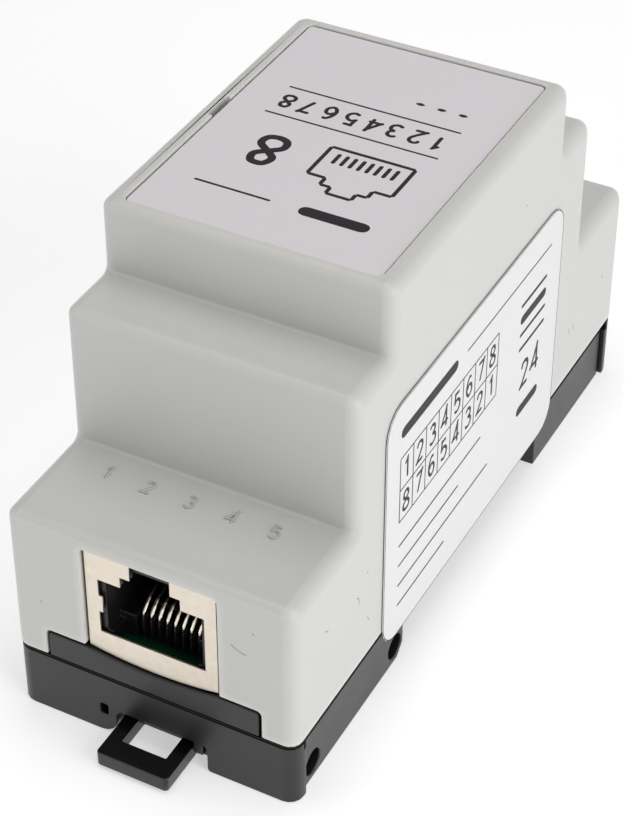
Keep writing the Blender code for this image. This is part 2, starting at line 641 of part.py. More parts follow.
def cut_foot_pockets(base):
    """Hollows the feet from below, leaving the outer walls and the walls beside the latch."""
    inner_near = WING_HALF_WIDTH + SLIDE_GAP + LATCH_BARB + FOOT_POCKET_WALL
    inner_far = FOOT_POCKET_WALL / 2
    outer = HALF_WIDTH - BASE_SIDE_INSET - LINK_HOLE_DEPTH - FOOT_POCKET_WALL
    spans = (
        (inner_near, -HALF_LENGTH + BASE_END_WALL, CHANNEL_NEAR - FOOT_POCKET_WALL),
        (inner_far, CHANNEL_FAR + RAIL_HOOK_THICKNESS, HALF_LENGTH - BASE_END_WALL),
    )
    for inner, low_y, high_y in spans:
        for side in both_sides():
            edges = sorted((side * inner, side * outer))
            cut(base, box_mesh("foot_pocket", (edges[0], low_y, -FOOT_HEIGHT),
                               (edges[1], high_y, FOOT_HEIGHT)))


def cut_latch_guide(base):
    inner_face = -HALF_LENGTH + BASE_END_WALL
    cut(base, plate_mesh("latch_guide", "XZ", inner_face, CHANNEL_NEAR + FIT_GAP, latch_slot_outline()))
    gate_right = LATCH_WIDTH / 2 + GATE_RIGHT_ROOM
    opening = rounded([(-HALF_WIDTH, -FOOT_HEIGHT, 0), (HALF_WIDTH, -FOOT_HEIGHT, 0), (HALF_WIDTH, 0, 0),
                       (gate_right, 0, GATE_RIGHT_FOOT_RADIUS), (gate_right, GATE_HEIGHT, GATE_RADIUS),
                       (GATE_LEFT, GATE_HEIGHT, GATE_RADIUS), (GATE_LEFT, 0, GATE_LEFT_FOOT_RADIUS),
                       (-HALF_WIDTH, 0, 0)])
    cut(base, plate_mesh("latch_gate", "XZ", -HOUSING_LENGTH, inner_face + FIT_GAP / 2, opening))
    lug_left = LATCH_WIDTH / 2 + GATE_LUG_ROOM
    join(base, box_mesh("gate_lug", (lug_left, -HALF_LENGTH, GATE_HEIGHT - GATE_LUG_DROP),
                        (lug_left + GATE_LUG_WIDTH, inner_face, GATE_HEIGHT + BASE_FLOOR)))
    nose_x = LATCH_WIDTH / 2 + SLIDE_GAP
    nose_back = LATCH_NOSE_TIP - LATCH_NOSE_LENGTH - LATCH_TRAVEL - SLIDE_GAP
    cut(base, box_mesh("nose_room", (-nose_x, nose_back, -FOOT_HEIGHT),
                       (nose_x, CHANNEL_NEAR + FIT_GAP, NOSE_TOP + SLIDE_GAP)))
    barb_x = WING_HALF_WIDTH + LATCH_BARB + SLIDE_GAP
    cut(base, box_mesh("barb_room",
                       (-barb_x, LATCH_PRONG_END - LATCH_BARB_LENGTH - LATCH_TRAVEL - SLIDE_GAP,
                        WING_BOTTOM - SLIDE_GAP),
                       (barb_x, LATCH_PRONG_END + SLIDE_GAP, LATCH_ROOF)))


def add_rail_hook(base):
    """The fixed hook that goes under the far flange of the rail, with a ramp to guide it in."""
    root = CHANNEL_FAR + FOOT_POCKET_WALL
    tip = CHANNEL_FAR - RAIL_SIDE_ROOM - RAIL_HOOK_GRIP
    top = FOOT_HEIGHT - RAIL_FLANGE - SLIDE_GAP
    low = top - RAIL_HOOK_THICKNESS
    ramp = top - RAIL_HOOK_THICKNESS / 2
    points = ((root, low), (root, top), (tip, top), (tip, ramp), (CHANNEL_FAR - RAIL_SIDE_ROOM / 2, low))
    join(base, plate_mesh("rail_hook", "YZ", -RAIL_HOOK_WIDTH / 2, RAIL_HOOK_WIDTH / 2, points))


def snap_hook_mesh(side_x, side_y):
    """A springy hook that rises from the base's spigot and holds the cover."""
    outer = SPIGOT_HALF_WIDTH
    inner = outer - SPIGOT_WALL
    top = POST_TOP + SNAP_HEIGHT
    points = [Vector((side_x * a, b)) for a, b in (
        (inner, POST_TOP - SPIGOT_WALL), (outer, POST_TOP - SPIGOT_WALL), (outer, top - SNAP_BARB_HEIGHT),
        (outer + SNAP_BARB, top - SNAP_BARB_HEIGHT), (outer, top), (inner, top))]
    middle = side_y * SNAP_SPACING / 2
    return plate_mesh("snap_hook", "XZ", middle - SNAP_WIDTH / 2, middle + SNAP_WIDTH / 2, points)


# Rail latch

def make_rail_latch(finish):
    half = LATCH_WIDTH / 2
    front = -HALF_LENGTH - LATCH_REACH
    tongue = rectangle(-half, half, front, LATCH_NOSE_TIP - LATCH_NOSE_LENGTH / 2, LATCH_CORNER_RADIUS)
    eye_front = front + LATCH_EYE_BAR
    eye = rectangle(-LATCH_EYE_WIDTH / 2, LATCH_EYE_WIDTH / 2, eye_front, eye_front + LATCH_EYE_LENGTH)
    blade = plate_mesh("rail_latch", "XY", LATCH_BOTTOM, LATCH_TOP, tongue, [eye])
    latch = add_object("rail_latch", blade, PARTS, finish)
    bridge = LATCH_SHOULDER + LATCH_BRIDGE_LENGTH
    inner = half + LATCH_SLIT
    outer = WING_HALF_WIDTH
    barb = outer + LATCH_BARB
    for side in both_sides():
        wing = [Vector((side * a, b)) for a, b in (
            (half - LATCH_SLIT, LATCH_SHOULDER), (outer, LATCH_SHOULDER),
            (outer, LATCH_PRONG_END - LATCH_BARB_LENGTH),
            (barb, LATCH_PRONG_END - LATCH_BARB_LENGTH / 2),
            (barb, LATCH_PRONG_END - LATCH_BARB_LENGTH / 3),
            (outer, LATCH_PRONG_END), (inner, LATCH_PRONG_END), (inner, bridge),
            (half - LATCH_SLIT, bridge))]
        join(latch, plate_mesh("latch_prong", "XY", WING_BOTTOM, LATCH_TOP, wing))
    nose_back = LATCH_NOSE_TIP - LATCH_NOSE_LENGTH
    nose_low = LATCH_BOTTOM + LATCH_NOSE_RELIEF
    nose = [Vector(p) for p in ((nose_back, nose_low), (LATCH_NOSE_TIP - LATCH_GRIP, nose_low),
                                (LATCH_NOSE_TIP, NOSE_TOP - LATCH_GRIP), (LATCH_NOSE_TIP, NOSE_TOP),
                                (nose_back + LATCH_GRIP, NOSE_TOP), (nose_back, LATCH_TOP))]
    join(latch, plate_mesh("latch_nose", "YZ", -half, half, nose))
    return latch


# Filler bars

def bowed_edge(half, level):
    """Points from +half to -half in X along the jack's lower edge, which dips most in the middle."""
    shares = [1 - 2 * i / BOW_STEPS for i in range(BOW_STEPS + 1)]
    return [(half * share, level - JACK_BOW * (1 - share ** 2)) for share in shares]


def make_filler_bar(name, side, finish):
    """The bar that closes the cover's end opening below the jack, with a flange behind the wall."""
    half = FILLER_HALF_WIDTH
    hollow = [(a, b, 0) for a, b in bowed_edge(JACK_WIDTH / 2 + FIT_GAP, FILLER_TOP)]
    outline = rounded([(-half, SEAM_HEIGHT, 0), (half, SEAM_HEIGHT, 0),
                       (half, FILLER_TOP, FILLER_CORNER_RADIUS), *hollow,
                       (-half, FILLER_TOP, FILLER_CORNER_RADIUS)])
    wall_back = HALF_LENGTH - COVER_WALL - FIT_GAP
    ends = sorted((side * HALF_LENGTH, side * (wall_back - FILLER_FLANGE)))
    bar = add_object(name, plate_mesh(name, "XZ", *ends, outline), PARTS, finish)
    flange_half = half + FILLER_FLANGE_REACH
    ends = sorted((side * wall_back, side * (wall_back - FILLER_FLANGE)))
    join(bar, box_mesh("flange", (-flange_half, ends[0], SEAM_HEIGHT),
                       (flange_half, ends[1], FILLER_TOP - JACK_BOW - FILLER_FLANGE)))
    return bar


# Circuit board and its screws

def contact_tails(side):
    """X and Y of the eight pins where a jack's contacts pass through the board, in two rows."""
    first = -(CONTACT_COUNT - 1) / 2 * CONTACT_PITCH
    row = JACK_FRONT - CONTACT_BEND_SETBACK - CONTACT_TAIL_BACK
    return [(first + i * CONTACT_PITCH, side * (row - (i % 2) * CONTACT_ROW_SPACING))
            for i in range(CONTACT_COUNT)]


def pair_places():
    """Y of each line pair's protection components."""
    return [(i - (PAIR_COUNT - 1) / 2) * PAIR_SPACING for i in range(PAIR_COUNT)]


def tube_lead_places():
    reach = TUBE_LENGTH / 2 - LEAD_DIAMETER
    return [TUBE_CENTRE_X - reach, TUBE_CENTRE_X, TUBE_CENTRE_X + reach]


def diode_lead_places():
    return [2 * DIODE_CENTRE_X - DIODE_LEAD_X, DIODE_LEAD_X]


def make_circuit_board(finish):
    holes = []
    for side in both_sides():
        holes += [circle(x, y, CONTACT_WIDTH + 2 * FIT_GAP, 8) for x, y in contact_tails(side)]
        holes.append(circle(0, side * SCREW_Y, SCREW_DIAMETER + 2 * FIT_GAP))
        for side_x in both_sides():
            x = side_x * (JACK_WIDTH - SHIELD_SHEET) / 2
            y = side * shield_peg_y()
            reach_x = SHIELD_SHEET / 2 + FIT_GAP
            reach_y = SHIELD_PEG_WIDTH / 2 + FIT_GAP
            holes.append(rectangle(x - reach_x, x + reach_x, y - reach_y, y + reach_y))
    for y in pair_places():
        for x in (*tube_lead_places(), *diode_lead_places()):
            holes.append(circle(x, y, LEAD_DIAMETER + 2 * FIT_GAP, 8))
    outline = rectangle(-BOARD_HALF_WIDTH, BOARD_HALF_WIDTH, -BOARD_HALF_LENGTH, BOARD_HALF_LENGTH)
    laminate = plate_mesh("circuit_board", "XY", BOARD_BOTTOM, BOARD_TOP, outline, holes)
    return add_object("circuit_board", laminate, PARTS, finish)


def turned(name, profile, steps, finish):
    """A turned piece: a profile of (radius, height) points from the top down, swept round Z."""
    mesh = bpy.data.meshes.new(name)
    mesh.from_pydata([(radius, 0, height) for radius, height in profile],
                     [(i, i + 1) for i in range(len(profile) - 1)], [])
    item = add_object(name, mesh, PARTS, finish)
    screw = item.modifiers.new("turned", "SCREW")
    screw.steps = steps
    screw.render_steps = steps
    screw.use_merge_vertices = True
    screw.merge_threshold = 1e-6
    screw.use_smooth_shade = True
    return item


def make_screw(name, side, finish):
    head_low = BOARD_TOP + SEAT_GAP
    tip = FOOT_HEIGHT + BASE_FLOOR / 2 + SEAT_GAP
    head_top = head_low + SCREW_HEAD_HEIGHT
    head = SCREW_HEAD_DIAMETER / 2
    shank = SCREW_DIAMETER / 2
    profile = ((0, head_top), (SCREW_HEAD_FLAT / 2, head_top), (head, head_low + SCREW_HEAD_RIM),
               (head, head_low), (shank, head_low), (shank, tip + shank), (SCREW_TIP_DIAMETER / 2, tip),
               (0, tip))
    screw = turned(name, profile, HOLE_STEPS, finish)
    middle = side * SCREW_Y
    screw.location.y = middle
    cut(screw, box_mesh("slot", (-head, middle - SCREW_SLOT_WIDTH / 2, head_top - SCREW_SLOT_DEPTH),
                        (head, middle + SCREW_SLOT_WIDTH / 2, head_top + SCREW_SLOT_DEPTH)))
    return screw


# Network jacks

def shield_peg_y():
    return JACK_FRONT - JACK_DEPTH / 2


def port_outline(width, floor, top):
    """The stepped port: wide for the plug, then two steps up to the keyway of its lever."""
    wide_top = floor + PORT_HEIGHT
    step_top = wide_top + KEYWAY_STEP_HEIGHT
    right = ((width / 2, floor), (width / 2, wide_top), (KEYWAY_STEP_WIDTH / 2, wide_top),
             (KEYWAY_STEP_WIDTH / 2, step_top), (KEYWAY_WIDTH / 2, step_top), (KEYWAY_WIDTH / 2, top))
    return [Vector(p) for p in (*right, *[(-a, b) for a, b in reversed(right)])]


def y_span(side, front, back):
    return sorted((side * front, side * back))


def make_shield(name, side, finish):
    """The folded sheet can of a jack, open below, with pegs that go through the board."""
    half = JACK_WIDTH / 2
    ends = y_span(side, JACK_FRONT, JACK_BACK)
    can = box_mesh(name, (-half, ends[0], JACK_BOTTOM), (half, ends[1], JACK_TOP))
    shield = add_object(name, can, PARTS, finish)
    ends = y_span(side, JACK_FRONT - SHIELD_SHEET, JACK_BACK + SHIELD_SHEET)
    cut(shield, box_mesh("inside", (-half + SHIELD_SHEET, ends[0], JACK_BOTTOM - JACK_HEIGHT),
                         (half - SHIELD_SHEET, ends[1], JACK_TOP - SHIELD_SHEET)))
    ends = y_span(side, JACK_FRONT, JACK_FRONT - SHIELD_SHEET)
    apron = [*bowed_edge(half, JACK_BOTTOM), (-half, JACK_BOTTOM + SHIELD_SHEET),
             (half, JACK_BOTTOM + SHIELD_SHEET)]
    join(shield, plate_mesh("apron", "XZ", *ends, apron))
    port_edge = PORT_WIDTH / 2
    edges = sorted((side * (port_edge - PORT_TAB_REACH), side * (port_edge + PORT_TAB_REACH)))
    tab_low = JACK_BOTTOM + PORT_TAB_LOW
    tab = box_mesh("port_tab", (edges[0], ends[0], tab_low), (edges[1], ends[1], tab_low + PORT_TAB_HEIGHT))
    ends = y_span(side, JACK_FRONT + SHIELD_SHEET, JACK_FRONT - 2 * SHIELD_SHEET)
    cut(shield, plate_mesh("port", "XZ", *ends,
                           port_outline(PORT_WIDTH, JACK_BOTTOM + PORT_FLOOR, JACK_TOP + SHIELD_SHEET)))
    join(shield, tab)
    for side_x in both_sides():
        edges = sorted((side_x * half, side_x * (half - SHIELD_SHEET)))
        middle = side * shield_peg_y()
        peg_low = BOARD_BOTTOM - LEAD_BELOW_BOARD
        join(shield, box_mesh("peg", (edges[0], middle - SHIELD_PEG_WIDTH / 2, peg_low),
                              (edges[1], middle + SHIELD_PEG_WIDTH / 2, JACK_BOTTOM + SHIELD_PEG_WIDTH)))
    return shield


def make_insert(name, side, finish):
    """The jack's black moulding: the plug's port, and across its floor a comb that parts the contacts."""
    half = JACK_WIDTH / 2 - SHIELD_SHEET - FIT_GAP
    front = JACK_FRONT - SHIELD_SHEET - FIT_GAP
    back = JACK_BACK + SHIELD_SHEET + FIT_GAP
    low = JACK_BOTTOM + SHIELD_SHEET
    top = JACK_TOP - SHIELD_SHEET - FIT_GAP
    ends = y_span(side, front, back)
    insert = add_object(name, box_mesh(name, (-half, ends[0], low), (half, ends[1], top)), PARTS, finish)
    ends = y_span(side, front + SHIELD_SHEET, front - PORT_DEPTH)
    cut(insert, plate_mesh("port", "XZ", *ends,
                           port_outline(PLUG_WIDTH, JACK_BOTTOM + PORT_FLOOR, top - 2 * SHIELD_SHEET)))
    bend = JACK_FRONT - CONTACT_BEND_SETBACK
    comb_front = bend + COMB_FRONT_ROOM
    comb_top = JACK_BOTTOM + COMB_HEIGHT
    comb_edge = PLUG_WIDTH / 2 + SHIELD_SHEET
    ends = y_span(side, comb_front, front - PORT_DEPTH - SHIELD_SHEET)
    join(insert, box_mesh("comb", (-comb_edge, ends[0], JACK_BOTTOM + PORT_FLOOR - SHIELD_SHEET),
                          (comb_edge, ends[1], comb_top)))
    lip_back = front - FRONT_LIP_LENGTH
    floor_cut = [Vector((side * a, b)) for a, b in (
        (front + SHIELD_SHEET, comb_top), (front + SHIELD_SHEET, JACK_BOTTOM + FRONT_LIP_HEIGHT),
        (lip_back, JACK_BOTTOM + FRONT_LIP_HEIGHT), (lip_back, JACK_BOTTOM - SHIELD_SHEET),
        (comb_front, JACK_BOTTOM - SHIELD_SHEET), (comb_front, comb_top))]
    cut(insert, plate_mesh("floor_opening", "YZ", -FLOOR_OPENING_WIDTH / 2, FLOOR_OPENING_WIDTH / 2,
                           floor_cut))
    ends = y_span(side, comb_front + SHIELD_SHEET,
                  bend - CONTACT_TAIL_BACK - CONTACT_ROW_SPACING - 2 * CONTACT_THICKNESS)
    slot = (CONTACT_PITCH - COMB_RIB) / 2
    for number, (x, tail_y) in enumerate(contact_tails(side), 1):
        cut(insert, box_mesh(f"comb_slot_{number}", (x - slot, ends[0], JACK_BOTTOM - SHIELD_SHEET),
                             (x + slot, ends[1], comb_top + SHIELD_SHEET)))
    tie = CONTACT_COUNT / 2 * CONTACT_PITCH + FIT_GAP
    ends = y_span(side, bend - COMB_TIE_ROOM, bend - COMB_TIE_ROOM - COMB_TIE_LENGTH)
    join(insert, box_mesh("comb_tie", (-tie, ends[0], comb_top - COMB_TIE_HEIGHT), (tie, ends[1], comb_top)))
    return insert


def contact_path(tail_back):
    """Y behind the bend and Z of a contact: up from its pin, forward, up, over and back under the plug."""
    low = JACK_BOTTOM + 2 * CONTACT_THICKNESS
    top = JACK_BOTTOM + CONTACT_BEND_HEIGHT
    radius = CONTACT_THICKNESS * 1.5
    return (
        (tail_back, BOARD_BOTTOM - LEAD_BELOW_BOARD), (tail_back, low - radius / 2),
        (tail_back - radius / 2, low), (radius, low), (0, low + radius), (0, top - radius),
        (radius / 3, top - radius / 4), (radius, top), (CONTACT_LENGTH, top + CONTACT_RISE),
    )


def make_contact(name, side, x, tail_y, finish):
    """One stamped contact: a strip along its path, given its thickness by Solidify."""
    bend_y = JACK_FRONT - CONTACT_BEND_SETBACK
    path = contact_path(bend_y - abs(tail_y))
    low, high = x - CONTACT_WIDTH / 2, x + CONTACT_WIDTH / 2
    mesh = bpy.data.meshes.new(name)
    corners = [(edge, side * (bend_y - back), z) for back, z in path for edge in (low, high)]
    faces = [(2 * i, 2 * i + 1, 2 * i + 3, 2 * i + 2) for i in range(len(path) - 1)]
    mesh.from_pydata(corners, [], faces)
    strip = add_object(name, mesh, PARTS, finish)
    thick = strip.modifiers.new("sheet", "SOLIDIFY")
    thick.thickness = CONTACT_THICKNESS
    thick.offset = 0.0
    thick.use_even_offset = True
    return strip


def make_jack(place, side, shield_finish, insert_finish, contact_finish):
    make_shield(f"{place}_jack_shield", side, shield_finish)
    make_insert(f"{place}_jack_insert", side, insert_finish)
    for number, (x, tail_y) in enumerate(contact_tails(side), 1):
        make_contact(f"{place}_jack_contact_{number}", side, x, tail_y, contact_finish)


# Protection components

def wire_mesh(name, points, diameter):
    """A round wire along straight stretches, as a mesh with closed ends."""
    curve = bpy.data.curves.new(name, "CURVE")
    curve.dimensions = "3D"
    curve.bevel_depth = diameter / 2
    curve.bevel_resolution = 2
    curve.use_fill_caps = True
    spline = curve.splines.new("POLY")
    spline.points.add(len(points) - 1)
    for point, place in zip(spline.points, points):
        point.co = (*place, 1)
    wire = bpy.data.objects.new(name, curve)
    bpy.context.scene.collection.objects.link(wire)
    bpy.context.view_layer.update()
    mesh = bpy.data.meshes.new_from_object(wire.evaluated_get(bpy.context.evaluated_depsgraph_get()))
    bpy.data.objects.remove(wire)
    bpy.data.curves.remove(curve)
    work = bmesh.new()
    work.from_mesh(mesh)
    bmesh.ops.remove_doubles(work, verts=work.verts, dist=1e-6)
    bmesh.ops.recalc_face_normals(work, faces=work.faces)
    work.to_mesh(mesh)
    work.free()
    return mesh


def lay_along_x(item):
    item.rotation_euler.y = math.radians(90)


def make_gas_tube(name, y, finish):
    """A three-electrode gas discharge tube: two ceramic rings between three metal discs."""
    radius = TUBE_DIAMETER / 2
    ceramic = TUBE_CERAMIC_DIAMETER / 2
    half = TUBE_LENGTH / 2
    ring_end = half - TUBE_DISC_THICKNESS
    disc = TUBE_DISC_THICKNESS / 2
    profile = ((0, half), (radius, half), (radius, ring_end), (ceramic, ring_end), (ceramic, disc),
               (radius, disc), (radius, -disc), (ceramic, -disc), (ceramic, -ring_end),
               (radius, -ring_end), (radius, -half), (0, -half))
    tube = turned(name, profile, ROUND_STEPS, finish)
    lay_along_x(tube)
    centre_z = BOARD_TOP + COMPONENT_STAND + radius
    tube.location = (TUBE_CENTRE_X, y, centre_z)
    low_z = BOARD_BOTTOM - LEAD_BELOW_BOARD
    for x in tube_lead_places():
        join(tube, wire_mesh("lead", ((x, y, low_z), (x, y, centre_z - radius / 2)), LEAD_DIAMETER))
    return tube


def make_diode(name, y, finish):
    """A clamping diode: a moulded round body on a bent wire at each end."""
    radius = DIODE_DIAMETER / 2
    half = DIODE_LENGTH / 2
    profile = ((0, half), (radius - DIODE_EDGE, half), (radius, half - DIODE_EDGE),
               (radius, -half + DIODE_EDGE), (radius - DIODE_EDGE, -half), (0, -half))
    diode = turned(name, profile, ROUND_STEPS, finish)
    lay_along_x(diode)
    centre_z = BOARD_TOP + COMPONENT_STAND + radius
    diode.location = (DIODE_CENTRE_X, y, centre_z)
    low_z = BOARD_BOTTOM - LEAD_BELOW_BOARD
    left, right = diode_lead_places()
    bend = LEAD_DIAMETER / 2
    join(diode, wire_mesh("lead", ((left, y, low_z), (left, y, centre_z - bend), (left + bend, y, centre_z),
                                   (right - bend, y, centre_z), (right, y, centre_z - bend),
                                   (right, y, low_z)), LEAD_DIAMETER))
    return diode


def make_earth_contact(finish):
    """The sprung strip that hangs under the board and bows down onto the rail's flange."""
    lowest = FOOT_HEIGHT - EARTH_PROUD + EARTH_SHEET
    top = BOARD_BOTTOM - SEAT_GAP - EARTH_SHEET / 2
    reach = EARTH_BOW_LENGTH / 2
    path = ((-reach, top), (-reach + EARTH_SHEET / 2, FLOOR_TOP), (-reach / 2, lowest + EARTH_SHEET),
            (-reach / 4, lowest - EARTH_SHEET / 2), (reach / 4, lowest - EARTH_SHEET / 2),
            (reach / 2, lowest + EARTH_SHEET), (reach - EARTH_SHEET / 2, FLOOR_TOP),
            (reach - EARTH_SHEET / 2, FLOOR_TOP + 2 * EARTH_SHEET))
    mesh = bpy.data.meshes.new("earth_contact")
    edges = (EARTH_CENTRE_X - EARTH_WIDTH / 2, EARTH_CENTRE_X + EARTH_WIDTH / 2)
    corners = [(x, EARTH_CENTRE_Y + along, z) for along, z in path for x in edges]
    mesh.from_pydata(corners, [], [(2 * i, 2 * i + 1, 2 * i + 3, 2 * i + 2) for i in range(len(path) - 1)])
    strip = add_object("earth_contact", mesh, PARTS, finish)
    thick = strip.modifiers.new("sheet", "SOLIDIFY")
    thick.thickness = EARTH_SHEET
    thick.offset = 0.0
    return strip


# Assembly

clear_scene()
PARTS = new_collection("surge_protector")
CUTTERS = new_collection("cutters")

light_grey_abs = material("light grey ABS", "C9CAC6", 0.45)
black_abs = material("black ABS", "3A3A3C", 0.5)
black_latch = material("black acetal", "1A1A1B", 0.4)
label_film = material("white label film", "E6E6E8", 0.4)
tinned_steel = material("tinned steel", "CFC8BC", 0.35, 1.0)
black_nylon = material("black nylon", "121213", 0.5)
gold_bronze = material("gold-plated bronze", "D8B56A", 0.25, 1.0)
green_laminate = material("green circuit laminate", "1F5A3C", 0.4)
white_ceramic = material("white ceramic", "E3DFD6", 0.35)
black_epoxy = material("black epoxy", "1C1C1E", 0.45)
zinc_steel = material("zinc-plated steel", "B4B6BA", 0.3, 1.0)

make_base(black_abs)
make_rail_latch(black_latch)
make_circuit_board(green_laminate)
make_earth_contact(gold_bronze)
for place, side in (("front", -1), ("rear", 1)):
    make_jack(place, side, tinned_steel, black_nylon, gold_bronze)
    make_filler_bar(f"{place}_filler_bar", side, black_abs)
    make_screw(f"{place}_board_screw", side, zinc_steel)
for number, y in enumerate(pair_places(), 1):
    make_gas_tube(f"gas_tube_{number}", y, white_ceramic)
    make_diode(f"clamping_diode_{number}", y, black_epoxy)
make_top_cover(light_grey_abs)
make_front_plate(light_grey_abs)
make_top_label(label_film)
make_side_label(label_film)

# The origin is under the middle of the whole part, so the housing is set off by what stands proud of it.
middle = bpy.data.objects.new("housing_middle", None)
bpy.context.scene.collection.objects.link(middle)
middle.location = (-(LABEL_GAP + LABEL_THICKNESS) / 2, LATCH_REACH / 2, 0)
for item in [*PARTS.objects, *CUTTERS.objects]:
    item.parent = middle
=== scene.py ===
"""Looks of a rail-mounted surge protector for a network line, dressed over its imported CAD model."""
import math

import bmesh
import bpy
import numpy as np
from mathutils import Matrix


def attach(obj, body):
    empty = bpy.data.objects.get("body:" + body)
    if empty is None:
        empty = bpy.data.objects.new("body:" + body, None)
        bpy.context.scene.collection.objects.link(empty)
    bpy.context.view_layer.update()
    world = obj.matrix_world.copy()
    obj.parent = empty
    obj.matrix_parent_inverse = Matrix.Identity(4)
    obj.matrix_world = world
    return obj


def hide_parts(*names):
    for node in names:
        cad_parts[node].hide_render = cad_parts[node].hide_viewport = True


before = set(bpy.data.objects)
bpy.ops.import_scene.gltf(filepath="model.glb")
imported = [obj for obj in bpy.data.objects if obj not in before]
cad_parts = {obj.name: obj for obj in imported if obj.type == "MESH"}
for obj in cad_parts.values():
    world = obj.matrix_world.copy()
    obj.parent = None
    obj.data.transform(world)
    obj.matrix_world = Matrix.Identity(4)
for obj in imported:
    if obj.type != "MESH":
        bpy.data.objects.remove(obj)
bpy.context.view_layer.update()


# Studio: the protector stands on a sheet of opal acrylic that is lit from below. A large soft box on
# its right is the main light, one hangs over it and a weak one fills the left. The camera looks down
# at the corner between the jack's end and the right side through a long lens.

ONE_SPOT = 0.0000001
FLOOR_REACH = 3.0
FADE_FROM, FADE_TO = 0.25, 0.75
SOFT_BOX = 0.42
PART_MIDDLE = (0.0, 0.0, 0.025)


def linear(code):
    """An sRGB hex colour as linear red, green, blue and full cover."""
    c = np.array([int(code[i:i + 2], 16) for i in (0, 2, 4)]) / 255
    return (*np.where(c <= 0.04045, c / 12.92, ((c + 0.055) / 1.055) ** 2.4), 1.0)


def add(tree, kind, inputs=None, **settings):
    """Adds a node with its settings; inputs hold values or the sockets that feed them."""
    made = tree.nodes.new(kind)
    for name, value in settings.items():
        setattr(made, name, value)
    for name, value in (inputs or {}).items():
        if isinstance(value, bpy.types.NodeSocket):
            tree.links.new(value, made.inputs[name])
        else:
            made.inputs[name].default_value = value
    return made


def empty_material(name):
    """A material without nodes, and its node tree."""
    made = bpy.data.materials.new(name)
    made.use_nodes = True
    made.node_tree.nodes.clear()
    return made, made.node_tree


def new_piece(name, vertices, faces, material):
    """A smooth-shaded mesh object at the origin, with its place in its vertices.

    Rows of points that lie on one spot, as at the ends of a strip, become the one point of a pole."""
    mesh = bpy.data.meshes.new(name)
    mesh.from_pydata(np.asarray(vertices).tolist(), [], np.asarray(faces).tolist())
    work = bmesh.new()
    work.from_mesh(mesh)
    bmesh.ops.remove_doubles(work, verts=work.verts, dist=ONE_SPOT)
    work.to_mesh(mesh)
    work.free()
    mesh.shade_smooth()
    mesh.materials.append(material)
    piece = bpy.data.objects.new(name, mesh)
    bpy.context.scene.collection.objects.link(piece)
    return piece


def seen_directly(tree):
    """1 for camera, mirror and see-through rays, 0 for the rays that light things."""
    path = add(tree, "ShaderNodeLightPath")
    either = add(tree, "ShaderNodeMath", {0: path.outputs["Is Camera Ray"],
                                          1: path.outputs["Is Glossy Ray"]}, operation="MAXIMUM")
    return add(tree, "ShaderNodeMath", {0: either.outputs[0], 1: path.outputs["Is Transmission Ray"]},
               operation="MAXIMUM").outputs[0]


def lit_sheet():
    """Opal acrylic: matt white, glowing from below; seen directly it is white and keeps the shadow.

    Far from the part, seen directly, it goes over into the white of the room's end."""
    made, tree = empty_material("opal acrylic")
    sheet = add(tree, "ShaderNodeBsdfDiffuse", {"Color": linear("E6E6E6")})
    glow = add(tree, "ShaderNodeEmission", {"Color": linear("FFFFFF"), "Strength": 0.62})
    lift = add(tree, "ShaderNodeEmission", {"Color": linear("FFFFFF"), "Strength": 0.5})
    white = add(tree, "ShaderNodeEmission", {"Color": linear("FFFFFF"), "Strength": 1.0})
    direct = seen_directly(tree)
    seen = add(tree, "ShaderNodeMixShader", {0: direct, 1: glow.outputs[0], 2: lift.outputs[0]})
    both = add(tree, "ShaderNodeAddShader", {0: sheet.outputs[0], 1: seen.outputs[0]})
    away = add(tree, "ShaderNodeVectorMath", {0: add(tree, "ShaderNodeTexCoord").outputs["Object"]},
               operation="LENGTH")
    fade = add(tree, "ShaderNodeMapRange", {0: away.outputs["Value"], 1: FADE_FROM, 2: FADE_TO,
                                            3: 0.0, 4: direct})
    shown = add(tree, "ShaderNodeMixShader", {0: fade.outputs[0], 1: both.outputs[0], 2: white.outputs[0]})
    add(tree, "ShaderNodeOutputMaterial", {"Surface": shown.outputs[0]})
    return made


def studio_world():
    """A pale room that lights only faintly, and is plain white where it is seen directly."""
    world = bpy.data.worlds.new("studio")
    world.use_nodes = True
    tree = world.node_tree
    tree.nodes.clear()
    room = add(tree, "ShaderNodeBackground", {"Color": linear("F4F5F7"), "Strength": 0.15})
    white = add(tree, "ShaderNodeBackground", {"Color": linear("FFFFFF"), "Strength": 1.0})
    mix = add(tree, "ShaderNodeMixShader", {0: seen_directly(tree), 1: room.outputs[0],
                                            2: white.outputs[0]})
    add(tree, "ShaderNodeOutputWorld", {"Surface": mix.outputs[0]})
    bpy.context.scene.world = world


def soft_box(name, place, power):
    """A square soft box that faces the middle of the part."""
    lamp = bpy.data.lights.new(name, "AREA")
    lamp.shape = "SQUARE"
    lamp.size = SOFT_BOX
    lamp.energy = power
    item = bpy.data.objects.new(name, lamp)
    item.location = place
    x, y, z = np.array(PART_MIDDLE) - np.array(place)
    item.rotation_euler = (math.atan2(math.hypot(x, y), -z), 0.0, math.atan2(-x, y))
    bpy.context.scene.collection.objects.link(item)


bpy.context.scene.view_settings.view_transform = "Standard"
studio_world()
floor = new_piece("floor", [(x * FLOOR_REACH, y * FLOOR_REACH, 0.0) for x, y in
                            ((-1, -1), (1, -1), (1, 1), (-1, 1))], [(0, 1, 2, 3)], lit_sheet())
soft_box("right_soft_box", (0.50, -0.14, 0.26), 1.55)
soft_box("top_soft_box", (0.0, 0.05, 0.58), 1.25)
soft_box("left_soft_box", (-0.50, -0.30, 0.12), 0.76)

